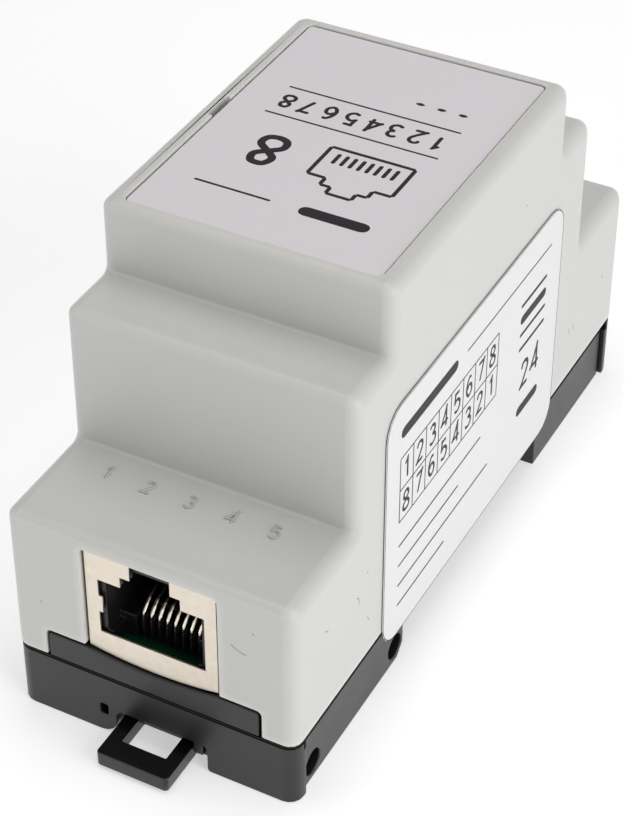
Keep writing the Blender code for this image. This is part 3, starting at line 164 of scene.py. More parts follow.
# The lens looks from 28 degrees right of the jack's end and 37 degrees up. The frame is shifted
# down a little, as far as every view still holds the whole part, so that upright edges lean less.
FRAME_HEIGHT, FRAME_SHIFT = 816, 90
view = bpy.data.cameras.new("camera")
view.sensor_width = 36.0
view.lens = 104.002
view.shift_y = -FRAME_SHIFT / FRAME_HEIGHT
view.clip_start = 0.01
camera = bpy.data.objects.new("camera", view)
camera.location = (0.101672, -0.196814, 0.197535)
camera.rotation_euler = (math.radians(90 - 36.6255), 0.0, math.radians(27.9116))
bpy.context.scene.collection.objects.link(camera)
bpy.context.scene.camera = camera


# Base: one injection moulding in black ABS, lightly spark-eroded so that it shines only softly. Its
# two feet leave the channel for the rail, and its edges keep the small radius of the mould.

MM = 0.001
HOUSING_X, HOUSING_Y = -0.11 * MM, 2.6 * MM
BASE_EDGE = 0.16 * MM
WELD = 0.002 * MM
FLAT_WITHIN, HARD_EDGE = math.radians(0.4), math.radians(38)


def rounded_copy(name, node, radius, steps=2):
    """A copy of a CAD node, merged, with an arc of the given radius rolled along each hard edge."""
    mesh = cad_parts[node].data.copy()
    mesh.name = name
    mesh.materials.clear()
    work = bmesh.new()
    work.from_mesh(mesh)
    bmesh.ops.remove_doubles(work, verts=work.verts, dist=WELD)
    bmesh.ops.dissolve_limit(work, angle_limit=FLAT_WITHIN, verts=work.verts, edges=work.edges)
    work.to_mesh(mesh)
    work.free()
    mesh.shade_smooth()
    piece = bpy.data.objects.new(name, mesh)
    bpy.context.scene.collection.objects.link(piece)
    arc = piece.modifiers.new("edge radius", "BEVEL")
    arc.width = radius
    arc.segments = steps
    arc.limit_method = "ANGLE"
    arc.angle_limit = HARD_EDGE
    arc.use_clamp_overlap = False
    arc.miter_outer = "MITER_ARC"
    even = piece.modifiers.new("flat faces stay flat", "WEIGHTED_NORMAL")
    even.mode = "FACE_AREA"
    even.weight = 100
    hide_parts(node)
    return piece


NARROW_GAP = 0.7 * MM
THIN_EDGE = 1.1 * MM


def with_painted_gap_shade(tree, tone):
    """The colour with painted shade: darkened where faces stand close together, as in the gap round the
    jack.
    """
    near = add(tree, "ShaderNodeAmbientOcclusion", {"Distance": NARROW_GAP}, samples=4)
    lit = add(tree, "ShaderNodeMapRange", {0: near.outputs["AO"], 1: 0.1, 2: 0.42, 3: 0.1, 4: 1.0})
    return add(tree, "ShaderNodeMix", {0: lit.outputs[0], 6: linear("000000"), 7: tone},
               data_type="RGBA").outputs[2]


def moulded_plastic(name, colour, roughness, grain, relief, cloud=0.03, edge=None):
    """A moulded thermoplastic: even colour, faint clouds, the fine grain of a spark-eroded mould and
    painted shade in narrow gaps.

    grain is the distance between pits and relief their depth, both in metres. An edge colour is a
    painted highlight along thin edges: it grows where the next face is close behind the skin."""
    made, tree = empty_material(name)
    place = add(tree, "ShaderNodeTexCoord").outputs["Object"]
    clouds = add(tree, "ShaderNodeTexNoise", {"Vector": place, "Scale": 1 / (9 * MM), "Detail": 3.0})
    pits = add(tree, "ShaderNodeTexNoise", {"Vector": place, "Scale": 1 / grain, "Detail": 2.0,
                                            "Roughness": 0.6})
    c = np.array(linear(colour)[:3])
    tone = add(tree, "ShaderNodeMix", {0: clouds.outputs["Fac"], 6: (*c * (1 - cloud), 1),
                                       7: (*c * (1 + cloud), 1)}, data_type="RGBA")
    surface = tone.outputs[2]
    # Painted highlight: where the next face is close behind the skin, as at thin edges, the colour goes
    # over to the edge colour.
    if edge:
        behind = add(tree, "ShaderNodeAmbientOcclusion", {"Distance": THIN_EDGE}, samples=4, inside=True)
        thin = add(tree, "ShaderNodeMapRange", {0: behind.outputs["AO"], 1: 0.95, 2: 0.45, 3: 0.0, 4: 1.0})
        surface = add(tree, "ShaderNodeMix", {0: thin.outputs[0], 6: surface, 7: linear(edge)},
                      data_type="RGBA").outputs[2]
    shine = add(tree, "ShaderNodeMapRange", {0: clouds.outputs["Fac"], 1: 0.3, 2: 0.7,
                                             3: roughness - 0.04, 4: roughness + 0.04})
    bump = add(tree, "ShaderNodeBump", {"Height": pits.outputs["Fac"], "Distance": relief,
                                        "Strength": 1.0})
    skin = add(tree, "ShaderNodeBsdfPrincipled",
               {"Base Color": with_painted_gap_shade(tree, surface), "Roughness": shine.outputs[0], "IOR": 1.53,
                "Normal": bump.outputs[0]})
    add(tree, "ShaderNodeOutputMaterial", {"Surface": skin.outputs[0]})
    return made


# ABS, spark-eroded: a deep black that the white room turns grey, most where it is seen at a slant.
# The real pits are about 0.05 mm apart; they are drawn 0.3 mm apart so that they show.
black_abs = moulded_plastic("black ABS", "131417", 0.36, 0.3 * MM, 0.004 * MM)

# Above these heights the base's skin lies in the seam under the cover, and there it gets painted
# shade. What is nearer to the middle than INSIDE_X and INSIDE_Y belongs to the base's inside.
SEAM_ON_SIDE, SEAM_ON_END = 7.33 * MM, 8.31 * MM
INSIDE_X, INSIDE_Y = 16.5 * MM, 43.2 * MM


def painted_seam_shade():
    """Painted shade: the same ABS, near black and nearly without shine, in the seam under the
    cover's overhang, where hardly any light comes in.
    """
    made, tree = empty_material("black ABS, painted shade in the seam")
    skin = add(tree, "ShaderNodeBsdfPrincipled", {"Base Color": linear("040405"), "Roughness": 0.6,
                                                  "Specular IOR Level": 0.05})
    add(tree, "ShaderNodeOutputMaterial", {"Surface": skin.outputs[0]})
    return made


def paint_seam_shade(mesh):
    """Cuts the skin at the seam's heights; what stands above, on the outside, gets the second
    material, the painted shade.
    """
    work = bmesh.new()
    work.from_mesh(mesh)
    for height in (SEAM_ON_SIDE, SEAM_ON_END):
        bmesh.ops.bisect_plane(work, geom=[*work.verts, *work.edges, *work.faces],
                               plane_co=(0, 0, height), plane_no=(0, 0, 1))
    for face in work.faces:
        x, y, z = face.calc_center_median()
        on_side, on_end = abs(x - HOUSING_X) > INSIDE_X, abs(y - HOUSING_Y) > INSIDE_Y
        face.material_index = int(z > (SEAM_ON_END if on_end else SEAM_ON_SIDE) and (on_side or on_end))
    work.to_mesh(mesh)
    work.free()
    mesh.shade_smooth()


base = rounded_copy("base_moulding", "base", BASE_EDGE)
paint_seam_shade(base.data)
base.data.materials.append(black_abs)
base.data.materials.append(painted_seam_shade())
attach(base, "housing")


# Rail latch: a tongue moulded in black acetal that slides in the near foot. Its top is smooth and
# glossy, and a screwdriver in its eye pulls it out against the detent.

LATCH_EDGE = 0.12 * MM
# Acetal, moulded against a polished steel face: dense black with a clear, slightly waxy shine.
black_acetal = moulded_plastic("black acetal", "0C0C0D", 0.24, 0.5 * MM, 0.002 * MM)
latch = rounded_copy("latch_moulding", "rail_latch", LATCH_EDGE)
latch.data.materials.append(black_acetal)
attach(latch, "latch")


# Circuit board with what is soldered to it: a green epoxy-glass board on two posts, its two screws,
# four gas discharge tubes, four clamping diodes, and under it the sprung strip that earths the rail.

def solder_resist():
    """Epoxy glass under green lacquer: a wet-looking green over the weave of the cloth."""
    made, tree = empty_material("green lacquered epoxy glass")
    place = add(tree, "ShaderNodeTexCoord").outputs["Object"]
    weave = add(tree, "ShaderNodeTexWave", {"Vector": place, "Scale": 1 / (2.4 * MM), "Distortion": 0.4},
                bands_direction="X")
    cross = add(tree, "ShaderNodeTexWave", {"Vector": place, "Scale": 1 / (2.4 * MM), "Distortion": 0.4},
                bands_direction="Y")
    cloth = add(tree, "ShaderNodeMath", {0: weave.outputs["Fac"], 1: cross.outputs["Fac"]},
                operation="MULTIPLY")
    tone = add(tree, "ShaderNodeMix", {0: cloth.outputs[0], 6: linear("17573B"), 7: linear("1E6645")},
               data_type="RGBA")
    bump = add(tree, "ShaderNodeBump", {"Height": cloth.outputs[0], "Distance": 0.004 * MM})
    skin = add(tree, "ShaderNodeBsdfPrincipled", {"Base Color": tone.outputs[2], "Roughness": 0.32,
                                                  "Coat Weight": 0.3, "Normal": bump.outputs[0]})
    add(tree, "ShaderNodeOutputMaterial", {"Surface": skin.outputs[0]})
    return made


def bare_metal(name, colour, roughness, mottle, grain, relief, dull):
    """A plated or bright metal: its own colour, clouded with a dull one, the sheet's fine grain, and
    painted shade in narrow gaps.
    """
    made, tree = empty_material(name)
    place = add(tree, "ShaderNodeTexCoord").outputs["Object"]
    clouds = add(tree, "ShaderNodeTexNoise", {"Vector": place, "Scale": 1 / mottle, "Detail": 5.0,
                                              "Roughness": 0.65})
    fine = add(tree, "ShaderNodeTexNoise", {"Vector": place, "Scale": 1 / grain, "Detail": 2.0})
    tone = add(tree, "ShaderNodeMix", {0: clouds.outputs["Fac"], 6: linear(dull),
                                       7: linear(colour)}, data_type="RGBA")
    shine = add(tree, "ShaderNodeMapRange", {0: clouds.outputs["Fac"], 1: 0.3, 2: 0.7,
                                             3: roughness + 0.08, 4: roughness - 0.06})
    bump = add(tree, "ShaderNodeBump", {"Height": fine.outputs["Fac"], "Distance": relief})
    skin = add(tree, "ShaderNodeBsdfPrincipled",
               {"Base Color": with_painted_gap_shade(tree, tone.outputs[2]), "Metallic": 1.0,
                "Roughness": shine.outputs[0], "Normal": bump.outputs[0]})
    add(tree, "ShaderNodeOutputMaterial", {"Surface": skin.outputs[0]})
    return made


def new_finish(node, material):
    """Gives a CAD node that is shown as it is a better material in every slot."""
    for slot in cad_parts[node].material_slots:
        slot.material = material


# Zinc plate on steel: a cool grey mirror, dulled in patches.
zinc_steel = bare_metal("zinc-plated steel", "B9BBC0", 0.3, 1.5 * MM, 0.2 * MM, 0.002 * MM, "A6A8AB")
# Gold flash on phosphor bronze, very thin: a bright, pale warm white.
gold_bronze = bare_metal("gold-flashed bronze", "F2ECE0", 0.18, 1.0 * MM, 0.2 * MM, 0.001 * MM, "DED4C0")
# Alumina, glazed: a warm white that shines softly under its glaze.
glazed_alumina = moulded_plastic("glazed alumina", "E2DED4", 0.25, 0.4 * MM, 0.002 * MM)
# Epoxy, transfer-moulded: a dull, very dark grey.
moulded_epoxy = moulded_plastic("moulded epoxy", "1D1D1F", 0.5, 0.25 * MM, 0.008 * MM)
new_finish("circuit_board", solder_resist())
new_finish("earth_contact", gold_bronze)
for end in ("front", "rear"):
    new_finish(f"{end}_board_screw", zinc_steel)
for number in range(1, 5):
    new_finish(f"gas_tube_{number}", glazed_alumina)
    new_finish(f"clamping_diode_{number}", moulded_epoxy)


# Jacks: each a sheet can folded from nickel-plated steel round a black nylon moulding. Eight gold
# contacts rise out of the moulding's comb, bend over and lean back under the place of the plug. The
# comb and the contacts' bend stand 1.5 mm nearer to the port than in the source, as photographed.

JACK_FRONT = 44.5 * MM
JACK_BOTTOM = 12.5 * MM
BOARD_BOTTOM = 10.7 * MM
CONTACT_PITCH = 1.02 * MM
CONTACT_WIDTH = 0.45 * MM
CONTACT_SHEET = 0.3 * MM
BEND_SETBACK = 3.9 * MM
BEND_RADIUS = 0.45 * MM
RUN_HEIGHT, BEND_HEIGHT = 0.6 * MM, 4.2 * MM
TIP_BACK, TIP_RISE = 7.9 * MM, 2.3 * MM
TAIL_BACK, TAIL_DROP = 7.1 * MM, 1.0 * MM
ROW_SPACING = 2.54 * MM
COMB_FRONT, COMB_FORWARD, ON_FACE = 39.9 * MM, 1.5 * MM, 0.05 * MM
CAN_EDGE, MOULDING_EDGE = 0.06 * MM, 0.1 * MM

nickel_sheet = bare_metal("nickel-plated steel sheet", "ECE3D5", 0.42, 1.2 * MM, 0.25 * MM,
                          0.003 * MM, "D8CEBF")
# Glass-filled nylon: nearly black, with a low dull shine.
black_nylon = moulded_plastic("black glass-filled nylon", "141415", 0.42, 0.3 * MM, 0.006 * MM)


def curve_through(points, steps=6):
    """Catmull-Rom: between two points, the cubic whose end slopes are half the neighbours' chords."""
    p = np.asarray(points, float)
    p = np.vstack((2 * p[0] - p[1], p, 2 * p[-1] - p[-2]))
    t = (np.arange(steps) / steps)[None, :, None]
    a, b, c, d = (q[:, None, :] for q in (p[:-3], p[1:-2], p[2:-1], p[3:]))
    run = 0.5 * (2 * b + (c - a) * t + (2 * a - 5 * b + 4 * c - d) * t ** 2
                 + (3 * b - a - 3 * c + d) * t ** 3)
    return np.vstack((run.reshape(-1, p.shape[1]), p[-2:-1]))


def grid_faces(rows, columns):
    """Quads between the rows of a grid whose columns close on themselves."""
    i, j = np.meshgrid(np.arange(rows - 1), np.arange(columns), indexing="ij")
    k = (j + 1) % columns
    return np.stack((i * columns + j, i * columns + k, (i + 1) * columns + k,
                     (i + 1) * columns + j), axis=-1).reshape(-1, 4)


def sheet_strip(path, x, width, thickness, side):
    """A strip: the rounded rectangle (width, thickness) carried along a path in the YZ plane.

    Point = path + x across the strip + thickness along the path's normal; the ends draw in to close."""
    slope = np.gradient(path, axis=0)
    slope /= np.linalg.norm(slope, axis=1)[:, None]
    normal = np.stack((-slope[:, 1], slope[:, 0]), axis=1)
    turn = np.linspace(0, 2 * np.pi, 12, endpoint=False) + np.pi / 12
    square = np.maximum(np.abs(np.cos(turn)), np.abs(np.sin(turn))) ** 0.4
    across, up = np.cos(turn) / square * width / 2, np.sin(turn) / square * thickness / 2
    rows = np.vstack((path[:1], path, path[-1:]))
    lines = np.vstack((normal[:1], normal, normal[-1:]))
    size = np.concatenate(([0.0], np.ones(len(path)), [0.0]))[:, None]
    across = x + across[None, :] * size
    y = rows[:, :1] + lines[:, :1] * up[None, :] * size
    z = rows[:, 1:] + lines[:, 1:] * up[None, :] * size
    points = np.stack((across + HOUSING_X, side * y + HOUSING_Y, z), axis=-1).reshape(-1, 3)
    faces = grid_faces(len(rows), len(turn))
    return points, faces[:, ::-1] if side > 0 else faces


def contact_route(tail):
    """Up from the board, forward under the plug, round the bend at the front and back up at a slant."""
    bend, low, top = JACK_FRONT - BEND_SETBACK, JACK_BOTTOM + RUN_HEIGHT, JACK_BOTTOM + BEND_HEIGHT
    r = BEND_RADIUS
    knots = ((tail, BOARD_BOTTOM - TAIL_DROP), (tail, low - r / 2), (tail + r / 2, low), (bend - r, low),
             (bend, low + r), (bend, top - 4 * r), (bend - r / 2, top - 2 * r),
             (bend - 2 * r, top - r / 2), (bend - 4 * r, top + r), (bend - TIP_BACK, top + TIP_RISE))
    spread = [np.linspace(a, b, 5)[:-1] for a, b in zip(np.array(knots[:-1]), np.array(knots[1:]))]
    return np.vstack((*spread, knots[-1]))


for end, side in (("front", -1), ("rear", 1)):
    can = rounded_copy(f"{end}_jack_can", f"{end}_jack_shield", CAN_EDGE)
    can.data.materials.append(nickel_sheet)
    moulding = rounded_copy(f"{end}_jack_moulding", f"{end}_jack_insert", MOULDING_EDGE)
    spots = np.empty(len(moulding.data.vertices) * 3, np.float32)
    moulding.data.vertices.foreach_get("co", spots)
    out = spots[1::3] - HOUSING_Y
    out[np.abs(out * side - COMB_FRONT) < ON_FACE] += side * COMB_FORWARD
    spots[1::3] = out + HOUSING_Y
    moulding.data.vertices.foreach_set("co", spots)
    moulding.data.materials.append(black_nylon)
    pieces = [can, moulding]
    for number in range(1, 9):
        x = (number - 4.5) * CONTACT_PITCH
        tail = JACK_FRONT - BEND_SETBACK - TAIL_BACK - (ROW_SPACING if number % 2 == 0 else 0)
        corners, faces = sheet_strip(contact_route(tail), x, CONTACT_WIDTH, CONTACT_SHEET, side)
        strip = new_piece(f"{end}_contact_{number}", corners, faces, gold_bronze)
        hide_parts(f"{end}_jack_contact_{number}")
        pieces.append(strip)
    for piece in pieces:
        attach(piece, "housing")


# Filler bars: a loose bar under each jack, moulded in the base's black ABS. It closes what the jack
# leaves of the cover's end opening, and sits between the can's bowed lower edge and the base.

for end in ("front", "rear"):
    bar = rounded_copy(f"{end}_bar", f"{end}_filler_bar", BASE_EDGE)
    bar.data.materials.append(black_abs)
    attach(bar, "housing")


# Top cover: one thin-walled moulding in light grey ABS, satin from its mould, snapped over the base.
# The numbers of the terminals are moulded on the near shoulder, and it has a few marks of handling.

SIDE_FACE = 18.0 * MM
SIDE_ROLL = 1.6 * MM
STEP_FILLET = 0.4 * MM
COVER_EDGE = 0.2 * MM
STEP_CORNERS = ((23.0 * MM, 46.8 * MM), (31.0 * MM, 28.8 * MM))
CORNER_REACH, CORNER_DEPTH = 1.2 * MM, 2.0 * MM
CORNER_START = SIDE_FACE - SIDE_ROLL - 0.1 * MM


def step_corner(wall, tread):
    """Skin where a step's fillet runs out over the side's roll, as rows of points along x.

    At turn t of the roll x = side - roll (1 - sin t), and there the outline of tread, fillet and wall
    lies roll (1 - cos t) deeper, so the fillet's radius grows by as much. Three more points close
    the flat side round it."""
    turn = np.linspace(0, np.pi / 2, 5)
    x = np.append(CORNER_START, SIDE_FACE - SIDE_ROLL * (1 - np.sin(turn)))
    deeper = np.append(0.0, SIDE_ROLL * (1 - np.cos(turn)))
    radius = STEP_FILLET + deeper
    y = np.vstack((np.full(len(x), wall + CORNER_REACH),
                   wall + STEP_FILLET - np.outer(np.sin(turn), radius), wall - deeper))
    z = np.vstack((tread - deeper, tread + STEP_FILLET - np.outer(np.cos(turn), radius),
                   np.full(len(x), tread + CORNER_REACH)))
    skin = np.stack((np.broadcast_to(x, y.shape), y, z), axis=-1).reshape(-1, 3)
    side = [(SIDE_FACE, wall - CORNER_DEPTH, tread + CORNER_REACH),
            (SIDE_FACE, wall - CORNER_DEPTH, tread - CORNER_DEPTH),
            (SIDE_FACE, wall + CORNER_REACH, tread - CORNER_DEPTH)]
    rows, n = y.shape
    i, j = np.meshgrid(np.arange(rows - 1), np.arange(n - 1), indexing="ij")
    first = i * n + j
    quads = np.stack((first, first + 1, first + n + 1, first + n), axis=-1).reshape(-1, 4)
    round_side = [*range(n - 1, rows * n, n), *range(rows * n, rows * n + len(side))]
    return np.vstack((skin, side)), [*quads.tolist(), round_side]


def mend_step_corners(mesh):
    """Replaces the facets that crowd at the eight inner corners of the steps by the true roll."""
    work = bmesh.new()
    work.from_mesh(mesh)
    bmesh.ops.translate(work, verts=work.verts, vec=(-HOUSING_X, -HOUSING_Y, 0.0))
    cuts = [((side * CORNER_START, 0, 0), (1, 0, 0), 0.0) for side in (-1, 1)]
    for wall, tread in STEP_CORNERS:
        cuts += [((0, end * y, 0), (0, 1, 0), CORNER_START) for end in (-1, 1)
                 for y in (wall + CORNER_REACH, wall - CORNER_DEPTH)]
        cuts += [((0, 0, z), (0, 0, 1), CORNER_START) for z in (tread + CORNER_REACH, tread - CORNER_DEPTH)]
    for place, direction, beyond in cuts:
        outer = [face for face in work.faces if abs(face.calc_center_median().x) >= beyond]
        edges = {part for face in outer for part in (*face.verts, *face.edges)}
        bmesh.ops.bisect_plane(work, geom=outer + list(edges), plane_co=place, plane_no=direction)
    for wall, tread in STEP_CORNERS:
        crowded = [face for face in work.faces for x, y, z in [face.calc_center_median()]
                   if abs(x) > CORNER_START and -CORNER_DEPTH < abs(y) - wall < CORNER_REACH
                   and -CORNER_DEPTH < z - tread < CORNER_REACH]
        bmesh.ops.delete(work, geom=crowded, context="FACES")
        points, faces = step_corner(wall, tread)
        for side, end in ((-1, -1), (-1, 1), (1, -1), (1, 1)):
            corner = bpy.data.meshes.new("step corner")
            corner.from_pydata((points * (side, end, 1)).tolist(), [], faces)
            work.from_mesh(corner)
            bpy.data.meshes.remove(corner)
    bmesh.ops.remove_doubles(work, verts=work.verts, dist=WELD)
    bmesh.ops.recalc_face_normals(work, faces=work.faces)
    bmesh.ops.translate(work, verts=work.verts, vec=(HOUSING_X, HOUSING_Y, 0.0))
    work.to_mesh(mesh)
    work.free()
    mesh.shade_smooth()


# ABS, satin: a soft light grey with rounded edges, and a painted highlight along the thin ones.
grey_abs = moulded_plastic("light grey ABS", "CFD0CC", 0.42, 0.35 * MM, 0.006 * MM, cloud=0.015,
                           edge="E6E2DD")
# The same ABS on the digits: shinier from the engraver's cut, and painted a little darker as the shade of
# the raised strokes.
digit_abs_painted_darker = moulded_plastic("light grey ABS, digits painted darker", "B4B5AE", 0.3, 0.35 * MM, 0.003 * MM, cloud=0.015)
cover = rounded_copy("cover_moulding", "top_cover", COVER_EDGE)
mend_step_corners(cover.data)
cover.data.materials.append(grey_abs)
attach(cover, "housing")

SHOULDER_TOP = 28.8 * MM
DIGIT_HEIGHT, DIGIT_PITCH = 1.9 * MM, 5.25 * MM
DIGIT_WIDTH, DIGIT_RISE = 0.36 * MM, 0.2 * MM
DIGITS_X, DIGITS_Y = -0.45 * MM, -34.7 * MM
NUMERALS = {
    "1": [((0.22, 0.78), (0.5, 1.0), (0.5, 1.0), (0.5, 0.0))],
    "2": [((0.12, 0.76), (0.22, 0.95), (0.45, 1.0), (0.68, 0.9), (0.72, 0.68), (0.52, 0.4), (0.1, 0.0),
           (0.1, 0.0), (0.78, 0.0))],
    "3": [((0.12, 0.88), (0.4, 1.0), (0.68, 0.88), (0.66, 0.62), (0.38, 0.53)),
          ((0.38, 0.53), (0.72, 0.42), (0.74, 0.14), (0.42, 0.0), (0.1, 0.12))],
    "4": [((0.58, 0.0), (0.58, 1.0), (0.58, 1.0), (0.06, 0.3), (0.06, 0.3), (0.82, 0.3))],
    "5": [((0.68, 1.0), (0.2, 1.0), (0.2, 1.0), (0.15, 0.55), (0.15, 0.55), (0.45, 0.64), (0.74, 0.44),
           (0.7, 0.14), (0.42, 0.0), (0.1, 0.1))],
    "6": [((0.66, 0.94), (0.42, 1.0), (0.18, 0.72), (0.12, 0.3), (0.4, 0.0), (0.72, 0.18), (0.68, 0.5),
           (0.4, 0.6), (0.13, 0.38))],
    "7": [((0.1, 1.0), (0.76, 1.0), (0.76, 1.0), (0.3, 0.0))],
    "8": [((0.42, 0.53), (0.16, 0.72), (0.24, 0.95), (0.42, 1.0), (0.62, 0.95), (0.68, 0.72), (0.42, 0.53),
           (0.12, 0.32), (0.16, 0.08), (0.42, 0.0), (0.7, 0.08), (0.74, 0.32), (0.42, 0.53))],
}


def bead(path, width, height):
    """A rounded bead on a flat path: the half ellipse (width, height) carried along it.

    At distance d from an end, inside half a width w, it is drawn in by sqrt(1 - (1 - d/w)^2)."""
    path = path[np.concatenate(([True], np.linalg.norm(np.diff(path, axis=0), axis=1) > 0.001 * MM))]
    run = np.concatenate(([0.0], np.cumsum(np.linalg.norm(np.diff(path, axis=0), axis=1))))
    cap = np.array([0.0, 0.06, 0.2, 0.45, 1.0]) * min(width, run[-1]) / 2
    where = np.unique(np.concatenate((cap, run[(run > cap[-1]) & (run < run[-1] - cap[-1])],
                                      run[-1] - cap)))
    line = np.stack([np.interp(where, run, path[:, i]) for i in (0, 1)], axis=1)
    slope = np.gradient(line, where, axis=0)
    slope /= np.linalg.norm(slope, axis=1)[:, None]
    side = np.stack((-slope[:, 1], slope[:, 0]), axis=1)
    inside = np.clip(np.minimum(where, run[-1] - where) / (width / 2), 0, 1)
    draw = np.sqrt(1 - (1 - inside) ** 2)[:, None]
    turn = np.concatenate((np.linspace(0, np.pi, 7), [1.5 * np.pi]))
    flat = line[:, None, :] + side[:, None, :] * (np.cos(turn) * draw * width / 2)[:, :, None]
    up = np.maximum(np.sin(turn), -0.3) * draw * height
    return np.dstack((flat, up)).reshape(-1, 3), grid_faces(len(where), len(turn))


def beads(strokes, height):
    """One mesh of beads from strokes, each a flat path and its width."""
    made = [bead(np.asarray(path), width, height) for path, width in strokes]
    starts = np.cumsum([0] + [len(points) for points, quads in made[:-1]])
    return (np.vstack([points for points, quads in made]),
            np.vstack([quads + start for (points, quads), start in zip(made, starts)]))


def numerals(text, size, pitch, width, middle=(0.0, 0.0)):
    """Strokes of plain numerals in a row, centred on middle; pitch is from one to the next."""
    return [(curve_through(stroke - np.array((0.42, 0.5))) * (size * 0.8, size) + middle
             + ((order - (len(text) - 1) / 2) * pitch, 0.0), width)
            for order, figure in enumerate(text) for stroke in map(np.array, NUMERALS[figure])]


corners, faces = beads(numerals("12345", DIGIT_HEIGHT, DIGIT_PITCH, DIGIT_WIDTH), DIGIT_RISE)
corners += (HOUSING_X + DIGITS_X, HOUSING_Y + DIGITS_Y, SHOULDER_TOP)
raised_numerals = new_piece("raised_numerals", corners, faces, digit_abs_painted_darker)
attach(raised_numerals, "housing")

# Marks of handling: short scratches and nicks in the skin, with a little dirt in them. Their places
# are in millimetres, across and up on the end, along and up on the right side.
END_FACE = 45.0 * MM
MARK_WIDTH, MARK_RISE = 0.13 * MM, 0.015 * MM
scratched_abs = moulded_plastic("scratched grey ABS", "8E8E88", 0.6, 0.2 * MM, 0.004 * MM)
end_marks = [((10.2, 21.3), (10.8, 20.9), (11.4, 20.6), (12.1, 20.45)), ((-14.2, 16.8), (-13.9, 16.6)),
             ((12.9, 24.1), (13.0, 23.8))]
side_marks = [((-38.3, 21.0), (-38.0, 20.6), (-37.6, 20.6)), ((-30.9, 19.6), (-30.4, 19.0), (-30.3, 18.2)),
              ((-28.2, 14.6), (-27.9, 13.8)), ((-28.5, 21.5), (-28.2, 21.1)), ((39.4, 18.5), (39.7, 17.8)),
              ((28.7, 16.9), (29.0, 15.8)), ((30.0, 16.7), (30.4, 15.6)), ((11.4, 46.0), (11.9, 45.8)),
              ((22.2, 38.6), (22.6, 38.4))]
for name, marks, axes, signs, face in (
        ("end_scratches", end_marks, [0, 2, 1], (1, -1, 1), (HOUSING_X, HOUSING_Y - END_FACE, 0.0)),
        ("side_scratches", side_marks, [2, 0, 1], (1, 1, 1), (HOUSING_X + SIDE_FACE, HOUSING_Y, 0.0))):
    corners, faces = beads([(curve_through(np.array(mark) * MM), MARK_WIDTH) for mark in marks], MARK_RISE)
    corners = corners[:, axes] * signs + face
    scratches = new_piece(name, corners, faces, scratched_abs)
    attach(scratches, "housing")


# Front plate and labels: a flat plate clipped into the cover's recess, and two printed film labels,
# one on the plate and one on the right side. Their print here is plain numerals and simple shapes.

PLATE_EDGE, FILM_EDGE = 0.12 * MM, 0.03 * MM
plate = rounded_copy("recess_plate", "front_plate", PLATE_EDGE)
plate.data.materials.append(grey_abs)
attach(plate, "housing")


def label_film(name, colour):
    """Matt polyester film over paper: an even white with a soft sheen and the faint swell of glue."""
    made, tree = empty_material(name)
    place = add(tree, "ShaderNodeTexCoord").outputs["Object"]
    swell = add(tree, "ShaderNodeTexNoise", {"Vector": place, "Scale": 1 / (7 * MM), "Detail": 2.0})
    tooth = add(tree, "ShaderNodeTexNoise", {"Vector": place, "Scale": 1 / (0.4 * MM), "Detail": 2.0})
    c = np.array(linear(colour)[:3])
    tone = add(tree, "ShaderNodeMix", {0: swell.outputs["Fac"], 6: (*c * 0.985, 1), 7: (*c * 1.015, 1)},
               data_type="RGBA")
    coarse = add(tree, "ShaderNodeBump", {"Height": swell.outputs["Fac"], "Distance": 0.05 * MM})
    fine = add(tree, "ShaderNodeBump", {"Height": tooth.outputs["Fac"], "Distance": 0.003 * MM,
                                        "Normal": coarse.outputs[0]})
    skin = add(tree, "ShaderNodeBsdfPrincipled", {"Base Color": tone.outputs[2], "Roughness": 0.5,
                                                  "IOR": 1.5, "Normal": fine.outputs[0]})
    add(tree, "ShaderNodeOutputMaterial", {"Surface": skin.outputs[0]})
    return made


# Side label: matt white film; top label: the same film, faintly lilac beside the warm grey cover.
lilac_film = label_film("matt white film, lilac tint", "EBE6E9")
white_film = label_film("matt white film", "E4E4E4")
for node, film in (("top_label", lilac_film), ("side_label", white_film)):
    sheet = rounded_copy(f"{node}_film", node, FILM_EDGE, 1)
    sheet.data.materials.append(film)
    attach(sheet, "housing")

TOP_LABEL_FACE = 55.72 * MM
SIDE_LABEL_FACE, SIDE_LABEL_Y, SIDE_LABEL_Z = 18.22 * MM, -0.6 * MM, 22.9 * MM
HALF_LENGTH, HALF_HEIGHT, CORNER_RADIUS = 23.9 * MM, 17.0 * MM, 3.45 * MM
EDGE_LINE_WIDTH = 0.12 * MM
INK = 0.012 * MM


def printing_ink(name, colour):
    """Transfer-printed ink: a flat, slightly uneven black on the film, with hardly any shine."""
    made, tree = empty_material(name)
    place = add(tree, "ShaderNodeTexCoord").outputs["Object"]
    cover_up = add(tree, "ShaderNodeTexNoise", {"Vector": place, "Scale": 1 / (0.5 * MM), "Detail": 3.0})
    c = np.array(linear(colour)[:3])
    tone = add(tree, "ShaderNodeMix", {0: cover_up.outputs["Fac"], 6: (*c * 0.7, 1), 7: (*c * 1.3, 1)},
               data_type="RGBA")
    skin = add(tree, "ShaderNodeBsdfPrincipled", {"Base Color": tone.outputs[2], "Roughness": 0.55,
                                                  "Specular IOR Level": 0.15})
    add(tree, "ShaderNodeOutputMaterial", {"Surface": skin.outputs[0]})
    return made


def straight(start, end, width):
    """A stroke from start to end."""
    return (np.linspace(start, end, 3), width)


